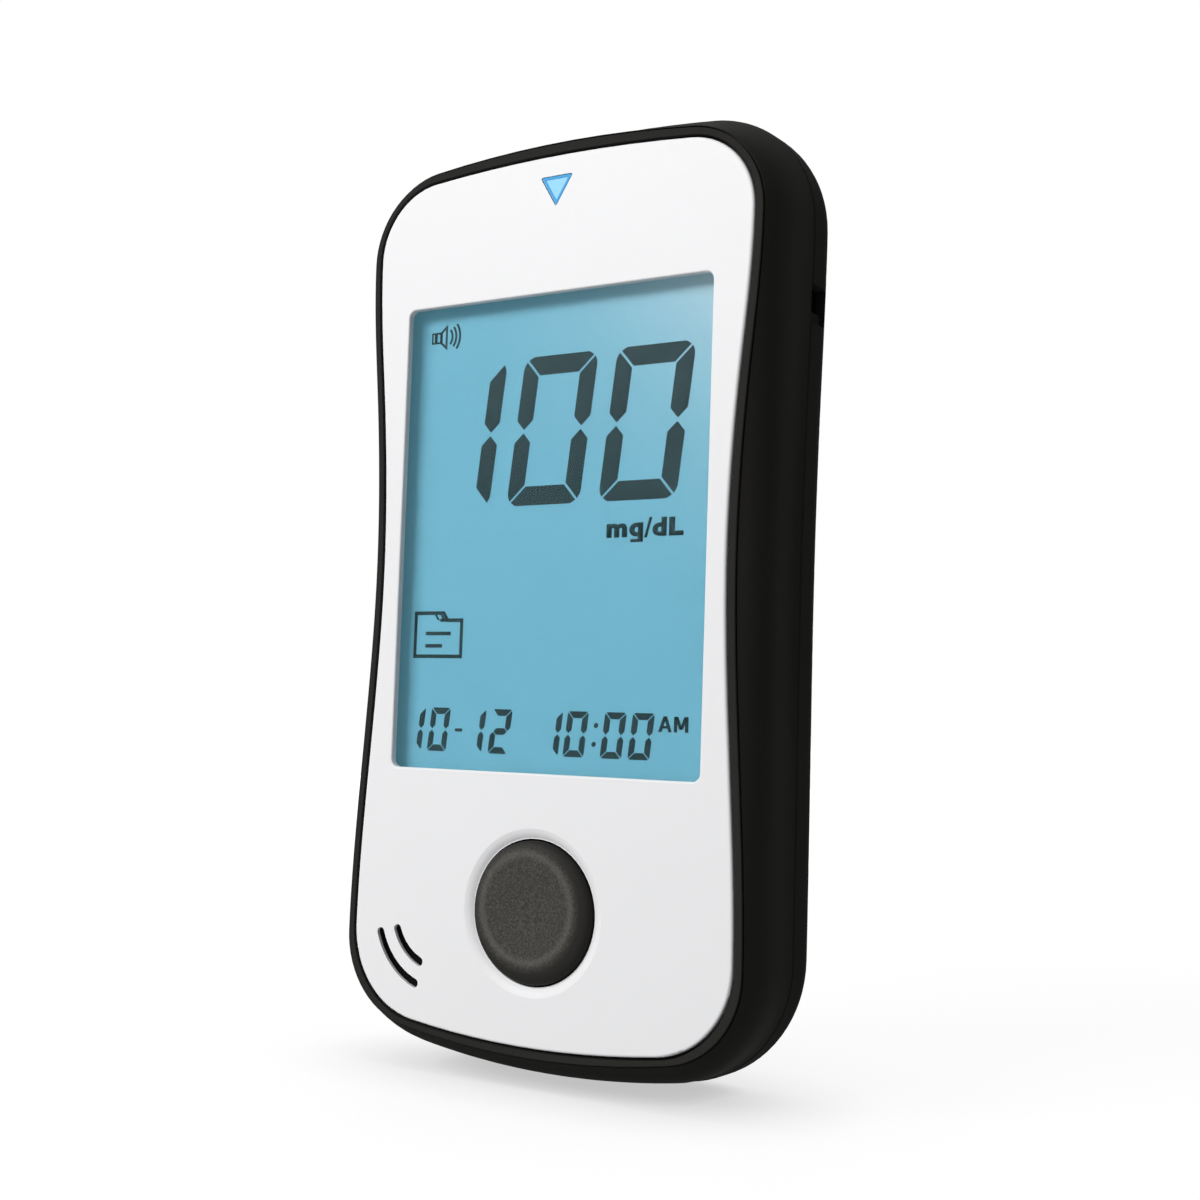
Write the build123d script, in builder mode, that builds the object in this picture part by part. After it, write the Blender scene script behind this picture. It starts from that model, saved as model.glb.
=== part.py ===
"""Hand-held blood glucose meter with a large display, one round key, a speaker and a test strip port.

Millimetres. X runs across the meter, Y from the front towards the back, Z up along its length.
Flat profiles are drawn looking at the front, measured from the centre of the display, and each one
lies at a depth behind the front face.
"""

import os
from collections import namedtuple
from math import atan2, degrees, sqrt

from build123d import *

# ---------------------------------------------------------------- driving dimensions
WINDOW_WIDTH = 40.0          # opening over the display
WINDOW_HEIGHT = 52.2
CASE_DEPTH = 17.8            # front face to back face
BUTTON_CREST = 0.4           # the key stands this far in front of the face
DISPLAY_Z = 59.3             # display centre above the foot of the case
FACE_Y = -(CASE_DEPTH - BUTTON_CREST) / 2

SEAM_DEPTH = 12.3            # where the front and back housings meet
BACK_ROUND = 3.0             # rounding of the back edge
PLATE_THICKNESS = 0.75
TRAY_REAR = 2.2              # rear of the floor that carries the plate, the lens and the display
WALL = 1.6
BACK_WALL = 1.2
GAP = 0.1                    # clearance between neighbouring pieces

CROWN_RADIUS = 150.0         # curve of the top end
BASE_RADIUS = 100.0          # curve of the foot
PLATE_CROWN_RADIUS = 190.0
PLATE_BASE_RADIUS = 114.0
SIDE_UPPER_Z, SIDE_WAIST_Z, SIDE_LOWER_Z = 16.0, -4.0, -28.0
UPPER_SWELL, LOWER_SWELL = 0.46, 0.63      # share of the swell that those two heights reach

Outline = namedtuple("Outline", "shoulder waist hip top bottom top_corner bottom_corner crown base")
PLATE = Outline(24.5, 22.34, 24.28, 41.36, -54.9, 8.35, 9.75, PLATE_CROWN_RADIUS, PLATE_BASE_RADIUS)
RIM = Outline(25.5, 23.42, 25.32, 42.62, -55.95, 9.6, 9.8, CROWN_RADIUS, BASE_RADIUS)
WALL_START = Outline(25.6, 23.52, 25.42, 42.92, -56.1, 9.8, 9.95, CROWN_RADIUS, BASE_RADIUS)
SHOULDER = Outline(26.1, 24.97, 25.87, 43.6, -57.6, 10.5, 11.4, CROWN_RADIUS, BASE_RADIUS)
FLANK = Outline(25.85, 24.95, 25.45, 45.62, -58.6, 12.0, 12.7, CROWN_RADIUS, BASE_RADIUS)
SEAM = Outline(25.3, 24.65, 24.8, 47.4, -59.3, 13.4, 13.8, CROWN_RADIUS, BASE_RADIUS)
RIM_FRONT, RIM_REAR = 0.05, 0.22
WALL_FRONT = 0.42           # the side wall starts a step behind the rim
SHOULDER_DEPTH, FLANK_DEPTH = 2.6, 7.4

BUTTON_Z = -40.78
BUTTON_RADIUS = 7.6
BUTTON_TRAVEL = 0.6
DISH_RADIUS = 8.9
DISH_DEPTH = 0.45

SPEAKER_SLOT_CENTRE = (-12.65, -41.95)
SPEAKER_SLOTS = ((5.85, 201.2, 46.4), (8.3, 198.7, 51.7))      # radius, first angle, sweep
SPEAKER_SLOT_WIDTH = 1.0
SPEAKER_CENTRE = (-15.4, -44.2)
SPEAKER_RADIUS = 5.75

MARKER_WIDTH, MARKER_TOP, MARKER_POINT = 4.2, 39.03, 35.66
LIGHT_PIPE_Z = 37.7          # round pipe behind the marker, over the indicator light
LIGHT_PIPE_RADIUS = 1.2

BOARD_FRONT, BOARD_REAR = 4.1, 4.9
CASE_SCREWS = ((-19.4, 33.0), (19.4, 33.0), (-19.2, -32.0), (19.2, -32.0))
BOARD_SCREWS = ((-11.5, 34.5), (11.5, 34.5), (14.5, -45.0))

CELL_RADIUS, CELL_LENGTH = 5.25, 44.5      # AAA cell
CELL_X = 5.6
CELL_DEPTH = 11.15
NUB_RADIUS, NUB_HEIGHT = 1.9, 1.0
WELL_FLOOR_FRONT, WELL_FLOOR_REAR = 5.1, 5.8
WELL_HALF_WIDTH = 11.3
WELL_LOW_Z, WELL_HIGH_Z = -51.5, -2.7
WELL_WALL = 1.0
CONTACT_THICKNESS = 0.4

COVER_HALF_WIDTH = 13.0
COVER_LOW_Z, COVER_HIGH_Z = WELL_LOW_Z - 1.5, WELL_HIGH_Z + 1.7
COVER_CORNER = 2.5
COVER_THICKNESS = 1.2
TAB_X, TAB_WIDTH = 6.5, 4.0
LATCH_WIDTH = 7.0
SCOOP_RADIUS = 8.0           # fingertip scoop above the latch

STRIP_WIDTH, STRIP_GAP = 6.8, 1.0
STRIP_DEPTH = 6.55

EJECTOR_TRAVEL = 2.5
RIDGE_SIZE, RIDGE_HEIGHT = (2.8, 1.4), 1.0           # finger ridge of the ejector
EJECTOR_WINDOW_LOW = 22.9
EJECTOR_WINDOW_HIGH = EJECTOR_WINDOW_LOW + RIDGE_SIZE[1] + EJECTOR_TRAVEL + 3 * GAP

os.makedirs("parts", exist_ok=True)


# ---------------------------------------------------------------- shared helpers
def at_depth(depth):
    """Plane facing the front at a depth behind the front face, its origin behind the display centre."""
    return Plane(origin=(0, FACE_Y + depth, DISPLAY_Z), x_dir=(1, 0, 0), z_dir=(0, -1, 0))


def across(x):
    """Plane that faces +X: its first axis is depth behind the front face, its second is height."""
    return Plane(origin=(x, FACE_Y, DISPLAY_Z), x_dir=(0, 1, 0), z_dir=(1, 0, 0))


def from_above(z):
    """Plane that faces up: its first axis is X, its second is depth behind the front face."""
    return Plane(origin=(0, FACE_Y, DISPLAY_Z + z), x_dir=(1, 0, 0), z_dir=(0, 0, 1))


def outline(form, grow=0.0):
    """Waisted outline as a flat face: crowned ends, round corners and curved sides."""
    shoulder, waist, hip = form.shoulder + grow, form.waist + grow, form.hip + grow
    top_corner, bottom_corner = form.top_corner + grow, form.bottom_corner + grow
    crown, base = form.crown + grow, form.base + grow
    crown_z, base_z = form.top + grow - crown, form.bottom - grow + base
    top_x, bottom_x = shoulder - top_corner, hip - bottom_corner
    top_z = crown_z + sqrt((crown - top_corner) ** 2 - top_x**2)
    bottom_z = base_z - sqrt((base - bottom_corner) ** 2 - bottom_x**2)
    top_turn = degrees(atan2(top_z - crown_z, top_x))
    bottom_turn = degrees(atan2(base_z - bottom_z, bottom_x))
    side = (
        (shoulder, top_z),
        (waist + UPPER_SWELL * (shoulder - waist), SIDE_UPPER_Z),
        (waist, SIDE_WAIST_Z),
        (waist + LOWER_SWELL * (hip - waist), SIDE_LOWER_Z),
        (hip, bottom_z),
    )
    with BuildSketch() as shape:
        with BuildLine():
            CenterArc((0, crown_z), crown, top_turn, 90 - top_turn)
            CenterArc((top_x, top_z), top_corner, 0, top_turn)
            Spline(*side, tangents=((0, -1), (0, -1)))
            CenterArc((bottom_x, bottom_z), bottom_corner, -bottom_turn, bottom_turn)
            CenterArc((0, base_z), base, -90, 90 - bottom_turn)
            mirror(about=Plane.YZ)
        make_face()
    return shape.sketch


def speaker_slots(width):
    """The two concentric curved slots over the speaker."""
    with BuildSketch() as shape:
        for radius, start, sweep_angle in SPEAKER_SLOTS:
            with BuildLine() as run:
                CenterArc(SPEAKER_SLOT_CENTRE, radius, start, sweep_angle)
            SlotArc(run.edge(), width)
    return shape.sketch


def front_edges(builder):
    """Edges around the outside of the face nearest the front."""
    return builder.faces().sort_by(Axis.Y)[0].outer_wire().edges()


def save(builder, name):
    builder.part.label = name
    export_step(builder.part, f"parts/{name}.step")


# ---------------------------------------------------------------- front housing
POCKET_GAP = 0.3             # dark line between the plate and the rim
GROOVE_FLOOR = 0.72          # fine groove between the rim and the side wall
GROOVE_CUT = 0.2             # it undercuts the rim
GROOVE_LIP = 0.08            # edge of the side wall beside it
RIM_ROUND = 0.12
SEAM_CHAMFER = 0.2           # each housing, where they meet
TRAY_OPENING = (42.6, 54.4)
LENS_SIZE = (43.8, 55.6)
LENS_THICKNESS = 0.8
LENS_CORNER = 0.8
BOSS_RADIUS = 2.5            # for the case screws
PILOT_RADIUS, PILOT_FRONT = 1.0, 6.0
POST_RADIUS = 2.0            # for the board screws
POST_PILOT_RADIUS, POST_PILOT_FRONT = 0.8, 1.6
SPEAKER_RING_WIDTH, SPEAKER_RING_REAR = 0.65, 3.6
PORT_OPENING = (9.2, 2.6)
PORT_FLOOR_Z, PORT_CUT = 41.5, 6.0

with BuildPart() as front_housing:
    # rounded, crowned side wall that loses its waist towards the seam
    for depth, form in (
        (WALL_FRONT, WALL_START),
        (SHOULDER_DEPTH, SHOULDER),
        (FLANK_DEPTH, FLANK),
        (SEAM_DEPTH, SEAM),
    ):
        with BuildSketch(at_depth(depth)):
            add(outline(form))
    loft()
    chamfer(
        front_housing.faces().sort_by(Axis.Y)[-1].outer_wire().edges(),
        length=SEAM_CHAMFER,
    )
    # cavity behind the tray floor
    for depth, form, inset in (
        (TRAY_REAR, SHOULDER, WALL + 0.4),
        (FLANK_DEPTH, FLANK, WALL),
        (SEAM_DEPTH, SEAM, WALL),
    ):
        with BuildSketch(at_depth(depth)):
            add(outline(form, -inset))
    loft(mode=Mode.SUBTRACT)
    # front rim, parted from the side wall by a fine groove
    with BuildSketch(at_depth(GROOVE_FLOOR)):
        add(outline(WALL_START, -GROOVE_LIP))
        add(outline(RIM, -GROOVE_CUT), mode=Mode.SUBTRACT)
    extrude(amount=GROOVE_FLOOR - WALL_FRONT, mode=Mode.SUBTRACT)
    with BuildSketch(at_depth(WALL_FRONT)):
        add(outline(RIM, -GROOVE_CUT))
    extrude(amount=WALL_FRONT - RIM_REAR)
    with BuildSketch(at_depth(RIM_REAR)):
        add(outline(RIM))
    extrude(amount=RIM_REAR - RIM_FRONT)
    fillet(front_edges(front_housing), radius=RIM_ROUND)
    # pocket for the face plate
    with BuildSketch(at_depth(PLATE_THICKNESS)):
        add(outline(PLATE, POCKET_GAP))
    extrude(amount=PLATE_THICKNESS, mode=Mode.SUBTRACT)
    # lens seat, display opening, key well, speaker slots and light pipe hole through the tray floor
    with BuildSketch(at_depth(PLATE_THICKNESS)):
        RectangleRounded(LENS_SIZE[0] + 2 * GAP, LENS_SIZE[1] + 2 * GAP, LENS_CORNER + GAP)
    extrude(amount=-(LENS_THICKNESS + GAP / 2), mode=Mode.SUBTRACT)
    with BuildSketch(at_depth(PLATE_THICKNESS)):
        Rectangle(*TRAY_OPENING)
        with Locations((0, BUTTON_Z)):
            Circle(DISH_RADIUS + GAP / 2)
        add(speaker_slots(SPEAKER_SLOT_WIDTH + 2 * GAP))
        with Locations((0, LIGHT_PIPE_Z)):
            Circle(LIGHT_PIPE_RADIUS + GAP)
    extrude(amount=PLATE_THICKNESS - TRAY_REAR, mode=Mode.SUBTRACT)
    # screw bosses and board posts
    with BuildSketch(at_depth(TRAY_REAR)):
        with Locations(*CASE_SCREWS):
            Circle(BOSS_RADIUS)
    extrude(amount=TRAY_REAR - SEAM_DEPTH)
    with BuildSketch(at_depth(TRAY_REAR)):
        with Locations(*BOARD_SCREWS):
            Circle(POST_RADIUS)
    extrude(amount=TRAY_REAR - BOARD_FRONT)
    with BuildSketch(at_depth(SEAM_DEPTH)):
        with Locations(*CASE_SCREWS):
            Circle(PILOT_RADIUS)
    extrude(amount=SEAM_DEPTH - PILOT_FRONT, mode=Mode.SUBTRACT)
    with BuildSketch(at_depth(BOARD_FRONT)):
        with Locations(*BOARD_SCREWS):
            Circle(POST_PILOT_RADIUS)
    extrude(amount=BOARD_FRONT - POST_PILOT_FRONT, mode=Mode.SUBTRACT)
    # raised ring that locates the speaker
    with BuildSketch(at_depth(TRAY_REAR)):
        with Locations(SPEAKER_CENTRE):
            Circle(SPEAKER_RADIUS + GAP + SPEAKER_RING_WIDTH)
            Circle(SPEAKER_RADIUS + GAP, mode=Mode.SUBTRACT)
        add(outline(SHOULDER, -WALL), mode=Mode.INTERSECT)
    extrude(amount=TRAY_REAR - SPEAKER_RING_REAR)
    # strip port in the crown
    with BuildSketch(from_above(PORT_FLOOR_Z)):
        with Locations((0, STRIP_DEPTH)):
            Rectangle(*PORT_OPENING)
    extrude(amount=PORT_CUT, mode=Mode.SUBTRACT)
save(front_housing, "front_housing")


# ---------------------------------------------------------------- face plate
def marker(grow=0.0):
    """Triangle that points down from the strip port."""
    with BuildSketch() as shape:
        Polygon(
            (-MARKER_WIDTH / 2, MARKER_TOP),
            (MARKER_WIDTH / 2, MARKER_TOP),
            (0, MARKER_POINT),
            align=None,
        )
        fillet(shape.vertices(), radius=MARKER_CORNER)
        offset(amount=grow)
    return shape.sketch


BUTTON_AXIS = Axis((0, FACE_Y, DISPLAY_Z + BUTTON_Z), (0, 1, 0))
BUTTON_HOLE = BUTTON_RADIUS + 0.2
WINDOW_CORNER = 0.9
PLATE_EDGE_ROUND = 0.3
WINDOW_EDGE_ROUND = 0.2
SLOT_RELIEF, SLOT_RELIEF_WIDTH = 0.35, 1.8   # the plate is thinned behind the speaker slots
MARKER_CORNER = 0.15
MARKER_SET_BACK = 0.1        # the window lies this far behind the face
LIGHT_PIPE_REAR = 3.1
DISH_CURVE = 2.4             # radius of the hollow round the key
DISH_LIP = 0.1               # flat ring left between the hollow and the key

with BuildPart() as face_plate:
    with BuildSketch(at_depth(PLATE_THICKNESS)):
        add(outline(PLATE))
        RectangleRounded(WINDOW_WIDTH, WINDOW_HEIGHT, WINDOW_CORNER, mode=Mode.SUBTRACT)
        add(speaker_slots(SPEAKER_SLOT_WIDTH), mode=Mode.SUBTRACT)
        add(marker(GAP / 2), mode=Mode.SUBTRACT)
        with Locations((0, BUTTON_Z)):
            Circle(BUTTON_HOLE, mode=Mode.SUBTRACT)
    extrude(amount=PLATE_THICKNESS)
    fillet(front_edges(face_plate), radius=PLATE_EDGE_ROUND)
    openings = face_plate.faces().sort_by(Axis.Y)[0].inner_wires()
    fillet(openings.sort_by(SortBy.LENGTH)[-1].edges(), radius=WINDOW_EDGE_ROUND)
    with BuildSketch(at_depth(PLATE_THICKNESS)):
        add(speaker_slots(SLOT_RELIEF_WIDTH))
    extrude(amount=SLOT_RELIEF, mode=Mode.SUBTRACT)
    # shallow hollow dish round the key
    with BuildSketch(from_above(BUTTON_Z)):
        with BuildLine():
            Line((0, 0), (DISH_RADIUS, 0))
            RadiusArc((DISH_RADIUS, 0), (BUTTON_HOLE + DISH_LIP, DISH_DEPTH), DISH_CURVE)
            Line((BUTTON_HOLE + DISH_LIP, DISH_DEPTH), (0, DISH_DEPTH))
            Line((0, DISH_DEPTH), (0, 0))
        make_face()
    revolve(axis=BUTTON_AXIS, mode=Mode.SUBTRACT)
save(face_plate, "face_plate")

with BuildPart() as indicator_window:
    with BuildSketch(at_depth(PLATE_THICKNESS)):
        add(marker(-GAP / 2))
    extrude(amount=PLATE_THICKNESS - MARKER_SET_BACK)
    with BuildSketch(at_depth(PLATE_THICKNESS)):
        with Locations((0, LIGHT_PIPE_Z)):
            Circle(LIGHT_PIPE_RADIUS)
    extrude(amount=PLATE_THICKNESS - LIGHT_PIPE_REAR)
save(indicator_window, "indicator_window")


# ---------------------------------------------------------------- display
with BuildPart() as display_lens:
    with BuildSketch(at_depth(PLATE_THICKNESS + LENS_THICKNESS)):
        RectangleRounded(*LENS_SIZE, LENS_CORNER)
    extrude(amount=LENS_THICKNESS)
save(display_lens, "display_lens")

GLASS_SIZE = (43.2, 55.0)
PANE_THICKNESS = 0.5
GLASS_FRONT = TRAY_REAR + GAP / 2
LEDGE_HEIGHT = 3.1           # bare strip of the front pane that carries the connections
LIGHT_THICKNESS = 0.65
HOLDER_SIZE, HOLDER_CORNER = (45.6, 57.8), 1.5
HOLDER_REAR = BOARD_FRONT - GAP / 2
CONNECTOR_SIZE = (36.0, 1.8)

with BuildPart() as lcd_glass:
    with BuildSketch(at_depth(GLASS_FRONT + PANE_THICKNESS)):
        Rectangle(*GLASS_SIZE)
    extrude(amount=PANE_THICKNESS)
    with BuildSketch(at_depth(GLASS_FRONT + 2 * PANE_THICKNESS)):
        with Locations((0, LEDGE_HEIGHT / 2)):
            Rectangle(GLASS_SIZE[0], GLASS_SIZE[1] - LEDGE_HEIGHT)
    extrude(amount=PANE_THICKNESS)
save(lcd_glass, "lcd_glass")

with BuildPart() as backlight_panel:
    with BuildSketch(at_depth(BOARD_FRONT - GAP)):
        with Locations((0, LEDGE_HEIGHT / 2)):
            Rectangle(GLASS_SIZE[0] - 6 * GAP, GLASS_SIZE[1] - LEDGE_HEIGHT - 4 * GAP)
    extrude(amount=LIGHT_THICKNESS)
save(backlight_panel, "backlight_panel")

with BuildPart() as lcd_holder:
    with BuildSketch(at_depth(HOLDER_REAR)):
        RectangleRounded(*HOLDER_SIZE, HOLDER_CORNER)
        Rectangle(GLASS_SIZE[0] + 2 * GAP, GLASS_SIZE[1] + 2 * GAP, mode=Mode.SUBTRACT)
    extrude(amount=HOLDER_REAR - GLASS_FRONT)
save(lcd_holder, "lcd_holder")

with BuildPart() as zebra_strip:
    with BuildSketch(at_depth(BOARD_FRONT)):
        with Locations((0, -GLASS_SIZE[1] / 2 + LEDGE_HEIGHT / 2)):
            Rectangle(*CONNECTOR_SIZE)
    extrude(amount=BOARD_FRONT - GLASS_FRONT - PANE_THICKNESS)
save(zebra_strip, "zebra_strip")


# ---------------------------------------------------------------- key
THUMB_REST_RADIUS, THUMB_REST_HOLLOW = 5.7, 0.2
BUTTON_SIDE_FRONT = 0.45     # the rounded shoulder ends here
BUTTON_FLANGE_RADIUS = 8.6
BUTTON_FLANGE_FRONT, BUTTON_FLANGE_REAR = 0.9, 1.5
DOME_RADIUS, DOME_CREST, DOME_CURVE = 4.0, 3.75, 24.0
STEM_RADIUS = 2.0
STEM_REAR = DOME_CREST - BUTTON_TRAVEL - GAP
THUMB_REST_DEPTH = THUMB_REST_HOLLOW - BUTTON_CREST

with BuildPart() as main_button:
    # soft shoulder round a slightly hollow thumb rest
    with BuildSketch(from_above(BUTTON_Z)):
        with BuildLine():
            Spline(
                (0, THUMB_REST_DEPTH),
                (THUMB_REST_RADIUS, -BUTTON_CREST),
                (BUTTON_RADIUS, BUTTON_SIDE_FRONT),
                tangents=((1, 0), (1, 0), (0, 1)),
            )
            Polyline(
                (BUTTON_RADIUS, BUTTON_SIDE_FRONT),
                (BUTTON_RADIUS, BUTTON_FLANGE_FRONT),
                (BUTTON_FLANGE_RADIUS, BUTTON_FLANGE_FRONT),
                (BUTTON_FLANGE_RADIUS, BUTTON_FLANGE_REAR),
                (STEM_RADIUS, BUTTON_FLANGE_REAR),
                (STEM_RADIUS, STEM_REAR),
                (0, STEM_REAR),
                (0, THUMB_REST_DEPTH),
            )
        make_face()
    revolve(axis=BUTTON_AXIS)
save(main_button, "main_button")

with BuildPart() as dome_switch:
    with BuildSketch(from_above(BUTTON_Z)):
        with BuildLine():
            RadiusArc((0, DOME_CREST), (DOME_RADIUS, BOARD_FRONT), -DOME_CURVE)
            Line((DOME_RADIUS, BOARD_FRONT), (0, BOARD_FRONT))
            Line((0, BOARD_FRONT), (0, DOME_CREST))
        make_face()
    revolve(axis=BUTTON_AXIS)
save(dome_switch, "dome_switch")


# ---------------------------------------------------------------- circuit board and what it carries
BOARD_INSET = 2.4            # board edge inside the plate's outline
BOARD_HOLE_RADIUS = 0.9

with BuildPart() as circuit_board:
    with BuildSketch(at_depth(BOARD_REAR)):
        add(outline(PLATE, -BOARD_INSET))
        with Locations(*CASE_SCREWS):
            Circle(BOSS_RADIUS + 0.5, mode=Mode.SUBTRACT)
        with Locations(*BOARD_SCREWS):
            Circle(BOARD_HOLE_RADIUS, mode=Mode.SUBTRACT)
    extrude(amount=BOARD_REAR - BOARD_FRONT)
save(circuit_board, "circuit_board")


def board_block(name, size, centre, height, front=False):
    """Rectangular component soldered to the rear or the front of the board."""
    with BuildPart() as block:
        with BuildSketch(at_depth(BOARD_FRONT if front else BOARD_REAR)):
            with Locations(centre):
                Rectangle(*size)
        extrude(amount=height if front else -height)
    save(block, name)


board_block("indicator_led", (1.6, 1.0), (0, LIGHT_PIPE_Z), 0.8, front=True)
board_block("voice_chip", (5.2, 5.2), (-15.0, 12.0), 0.9)
board_block("timing_crystal", (3.2, 1.5), (15.0, 20.0), 0.8)

CHIP_Z, CHIP_WIDTH, CHIP_THICKNESS = 13.0, 9.0, 1.0
CHIP_STANDOFF = 0.15
LEADS_PER_SIDE, LEAD_PITCH = 8, 1.0
LEAD_LENGTH, LEAD_WIDTH, LEAD_THICKNESS = 1.2, 0.4, 0.3

with BuildPart() as main_chip:
    with BuildSketch(at_depth(BOARD_REAR + CHIP_STANDOFF)):
        with Locations((0, CHIP_Z)):
            Rectangle(CHIP_WIDTH, CHIP_WIDTH)
    extrude(amount=-CHIP_THICKNESS)
    chamfer(main_chip.faces().sort_by(Axis.Y)[-1].edges(), length=0.15)
    # rows of leads on all four sides
    for turn in range(4):
        with BuildSketch(at_depth(BOARD_REAR)):
            with Locations(Location((0, CHIP_Z, 0), (0, 0, 90 * turn))):
                with GridLocations(0, LEAD_PITCH, 1, LEADS_PER_SIDE):
                    with Locations(((CHIP_WIDTH + LEAD_LENGTH) / 2 - 0.1, 0)):
                        Rectangle(LEAD_LENGTH, LEAD_WIDTH)
        extrude(amount=-LEAD_THICKNESS)
save(main_chip, "main_chip")

SET_KEY_Z = -22.0
SET_KEY_RADIUS, SET_KEY_LENGTH, SET_KEY_REAR = 0.8, 1.3, 7.1
SET_SWITCH_SIZE, SET_SWITCH_REAR = (3.6, 4.0), 6.3
SET_SWITCH_BORE = 0.9        # leaves the key 0.25 mm of travel below it

with BuildPart() as set_switch:
    with BuildSketch(at_depth(BOARD_REAR)):
        with Locations((0, SET_KEY_Z)):
            Rectangle(*SET_SWITCH_SIZE)
    extrude(amount=BOARD_REAR - SET_SWITCH_REAR)
    with BuildSketch(at_depth(SET_SWITCH_REAR)):
        with Locations((0, SET_KEY_Z)):
            Circle(SET_KEY_RADIUS + GAP)
    extrude(amount=SET_SWITCH_BORE, mode=Mode.SUBTRACT)
save(set_switch, "set_switch")

with BuildPart() as set_key:
    with BuildSketch(at_depth(SET_KEY_REAR)):
        with Locations((0, SET_KEY_Z)):
            Circle(SET_KEY_RADIUS)
    extrude(amount=SET_KEY_LENGTH)
    chamfer(set_key.faces().sort_by(Axis.Y)[-1].edges(), length=0.15)
save(set_key, "set_key")

Screw = namedtuple("Screw", "seat tip radius head_radius head_height")
CASE_SCREW = Screw(seat=14.7, tip=8.0, radius=0.95, head_radius=1.8, head_height=1.3)
BOARD_SCREW = Screw(seat=BOARD_REAR, tip=2.6, radius=0.75, head_radius=1.4, head_height=0.9)


def make_screws(name, places, screw):
    """Pan-head screws with a cross recess, driven from the back."""
    arm_length, arm_width = 1.2 * screw.head_radius, 0.22 * screw.head_radius
    with BuildPart() as screws:
        with BuildSketch(at_depth(screw.seat)):
            with Locations(*places):
                Circle(screw.radius)
        extrude(amount=screw.seat - screw.tip)
        with BuildSketch(at_depth(screw.seat)):
            with Locations(*places):
                Circle(screw.head_radius)
        extrude(amount=-screw.head_height)
        fillet(
            screws.edges().filter_by(GeomType.CIRCLE).group_by(Axis.Y)[-1],
            radius=0.3 * screw.head_height,
        )
        with BuildSketch(at_depth(screw.seat + screw.head_height)):
            with Locations(*places):
                Rectangle(arm_length, arm_width)
                Rectangle(arm_width, arm_length)
        extrude(amount=0.55 * screw.head_height, mode=Mode.SUBTRACT)
    save(screws, name)


make_screws("housing_screws", CASE_SCREWS, CASE_SCREW)
make_screws("board_screws", BOARD_SCREWS, BOARD_SCREW)


# ---------------------------------------------------------------- speaker
SPEAKER_AXIS = Axis((SPEAKER_CENTRE[0], FACE_Y, DISPLAY_Z + SPEAKER_CENTRE[1]), (0, 1, 0))
SPEAKER_PLANE = Plane(SPEAKER_AXIS.position, x_dir=(1, 0, 0), z_dir=(0, 0, 1))


def speaker_piece(name, *profile):
    """Piece turned about the speaker's axis, from its corners as (radius, depth)."""
    with BuildPart() as piece:
        with BuildSketch(SPEAKER_PLANE):
            with BuildLine():
                Polyline(*profile, close=True)
            make_face()
        revolve(axis=SPEAKER_AXIS)
    save(piece, name)


speaker_piece("speaker_mesh", (0, 2.2), (5.6, 2.2), (5.6, 2.35), (0, 2.35))
speaker_piece("speaker_gasket", (4.9, 2.35), (5.7, 2.35), (5.7, 2.6), (4.9, 2.6))
speaker_piece(
    "speaker_frame",
    *((5.1, 2.6), (5.7, 2.6), (5.7, 3.1), (4.3, 4.0)),
    *((0, 4.0), (0, 3.7), (4.0, 3.7), (5.1, 3.0)),
)
speaker_piece(
    "speaker_cone",
    *((0, 3.25), (1.6, 2.9), (2.0, 3.2), (4.9, 2.7)),
    *((4.9, 2.8), (2.1, 3.35), (1.5, 3.1), (0, 3.4)),
)


# ---------------------------------------------------------------- test strip port
SOCKET_LOW_Z, SOCKET_HIGH_Z = 32.0, 41.4
SOCKET_WIDTH, SOCKET_REAR = 12.8, 8.1
SOCKET_FLOOR = 2.0
CONTACT_PITCH = 1.2
STRIP_CONTACTS = 5
PUSHER_WIDTH = 4.4

with BuildPart() as strip_socket:
    with BuildSketch(from_above(SOCKET_LOW_Z)):
        with Locations((0, (BOARD_REAR + SOCKET_REAR) / 2)):
            Rectangle(SOCKET_WIDTH, SOCKET_REAR - BOARD_REAR)
    extrude(amount=SOCKET_HIGH_Z - SOCKET_LOW_Z)
    # strip slot, and a narrower way in for the ejector from below
    with BuildSketch(from_above(SOCKET_HIGH_Z)):
        with Locations((0, STRIP_DEPTH)):
            Rectangle(STRIP_WIDTH, STRIP_GAP)
    extrude(amount=-(SOCKET_HIGH_Z - SOCKET_LOW_Z - SOCKET_FLOOR), mode=Mode.SUBTRACT)
    with BuildSketch(from_above(SOCKET_LOW_Z)):
        with Locations((0, STRIP_DEPTH + GAP / 2)):
            Rectangle(PUSHER_WIDTH + 0.6, STRIP_GAP + GAP)
    extrude(amount=SOCKET_FLOOR + 0.5, mode=Mode.SUBTRACT)
    # one groove for each contact
    with BuildSketch(at_depth(STRIP_DEPTH)):
        with Locations((0, 36.9)):
            with GridLocations(CONTACT_PITCH, 0, STRIP_CONTACTS, 1):
                Rectangle(0.7, 5.8)
    extrude(amount=STRIP_DEPTH - BOARD_REAR, mode=Mode.SUBTRACT)
save(strip_socket, "strip_socket")

with BuildPart() as strip_contacts:
    # sprung metal fingers with a raised contact point
    with BuildSketch(across(0)):
        with BuildLine():
            Polyline(
                (BOARD_REAR, 34.3),
                (BOARD_REAR + 0.9, 34.3),
                (6.2, 38.2),
                (5.7, 39.5),
                (5.5, 39.4),
                (5.9, 38.2),
                (BOARD_REAR + 0.65, 34.5),
                (BOARD_REAR, 34.5),
                close=True,
            )
        make_face()
    extrude(amount=0.25, both=True)
    finger = strip_contacts.part
    with Locations(*((CONTACT_PITCH * step, 0, 0) for step in (-2, -1, 1, 2))):
        add(finger)
save(strip_contacts, "strip_contacts")

GUIDE_HIGH_Z = 44.4
GUIDE_FLANGE = (11.0, 3.2, 0.8)
MOUTH_FLARE = 1.0

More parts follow.
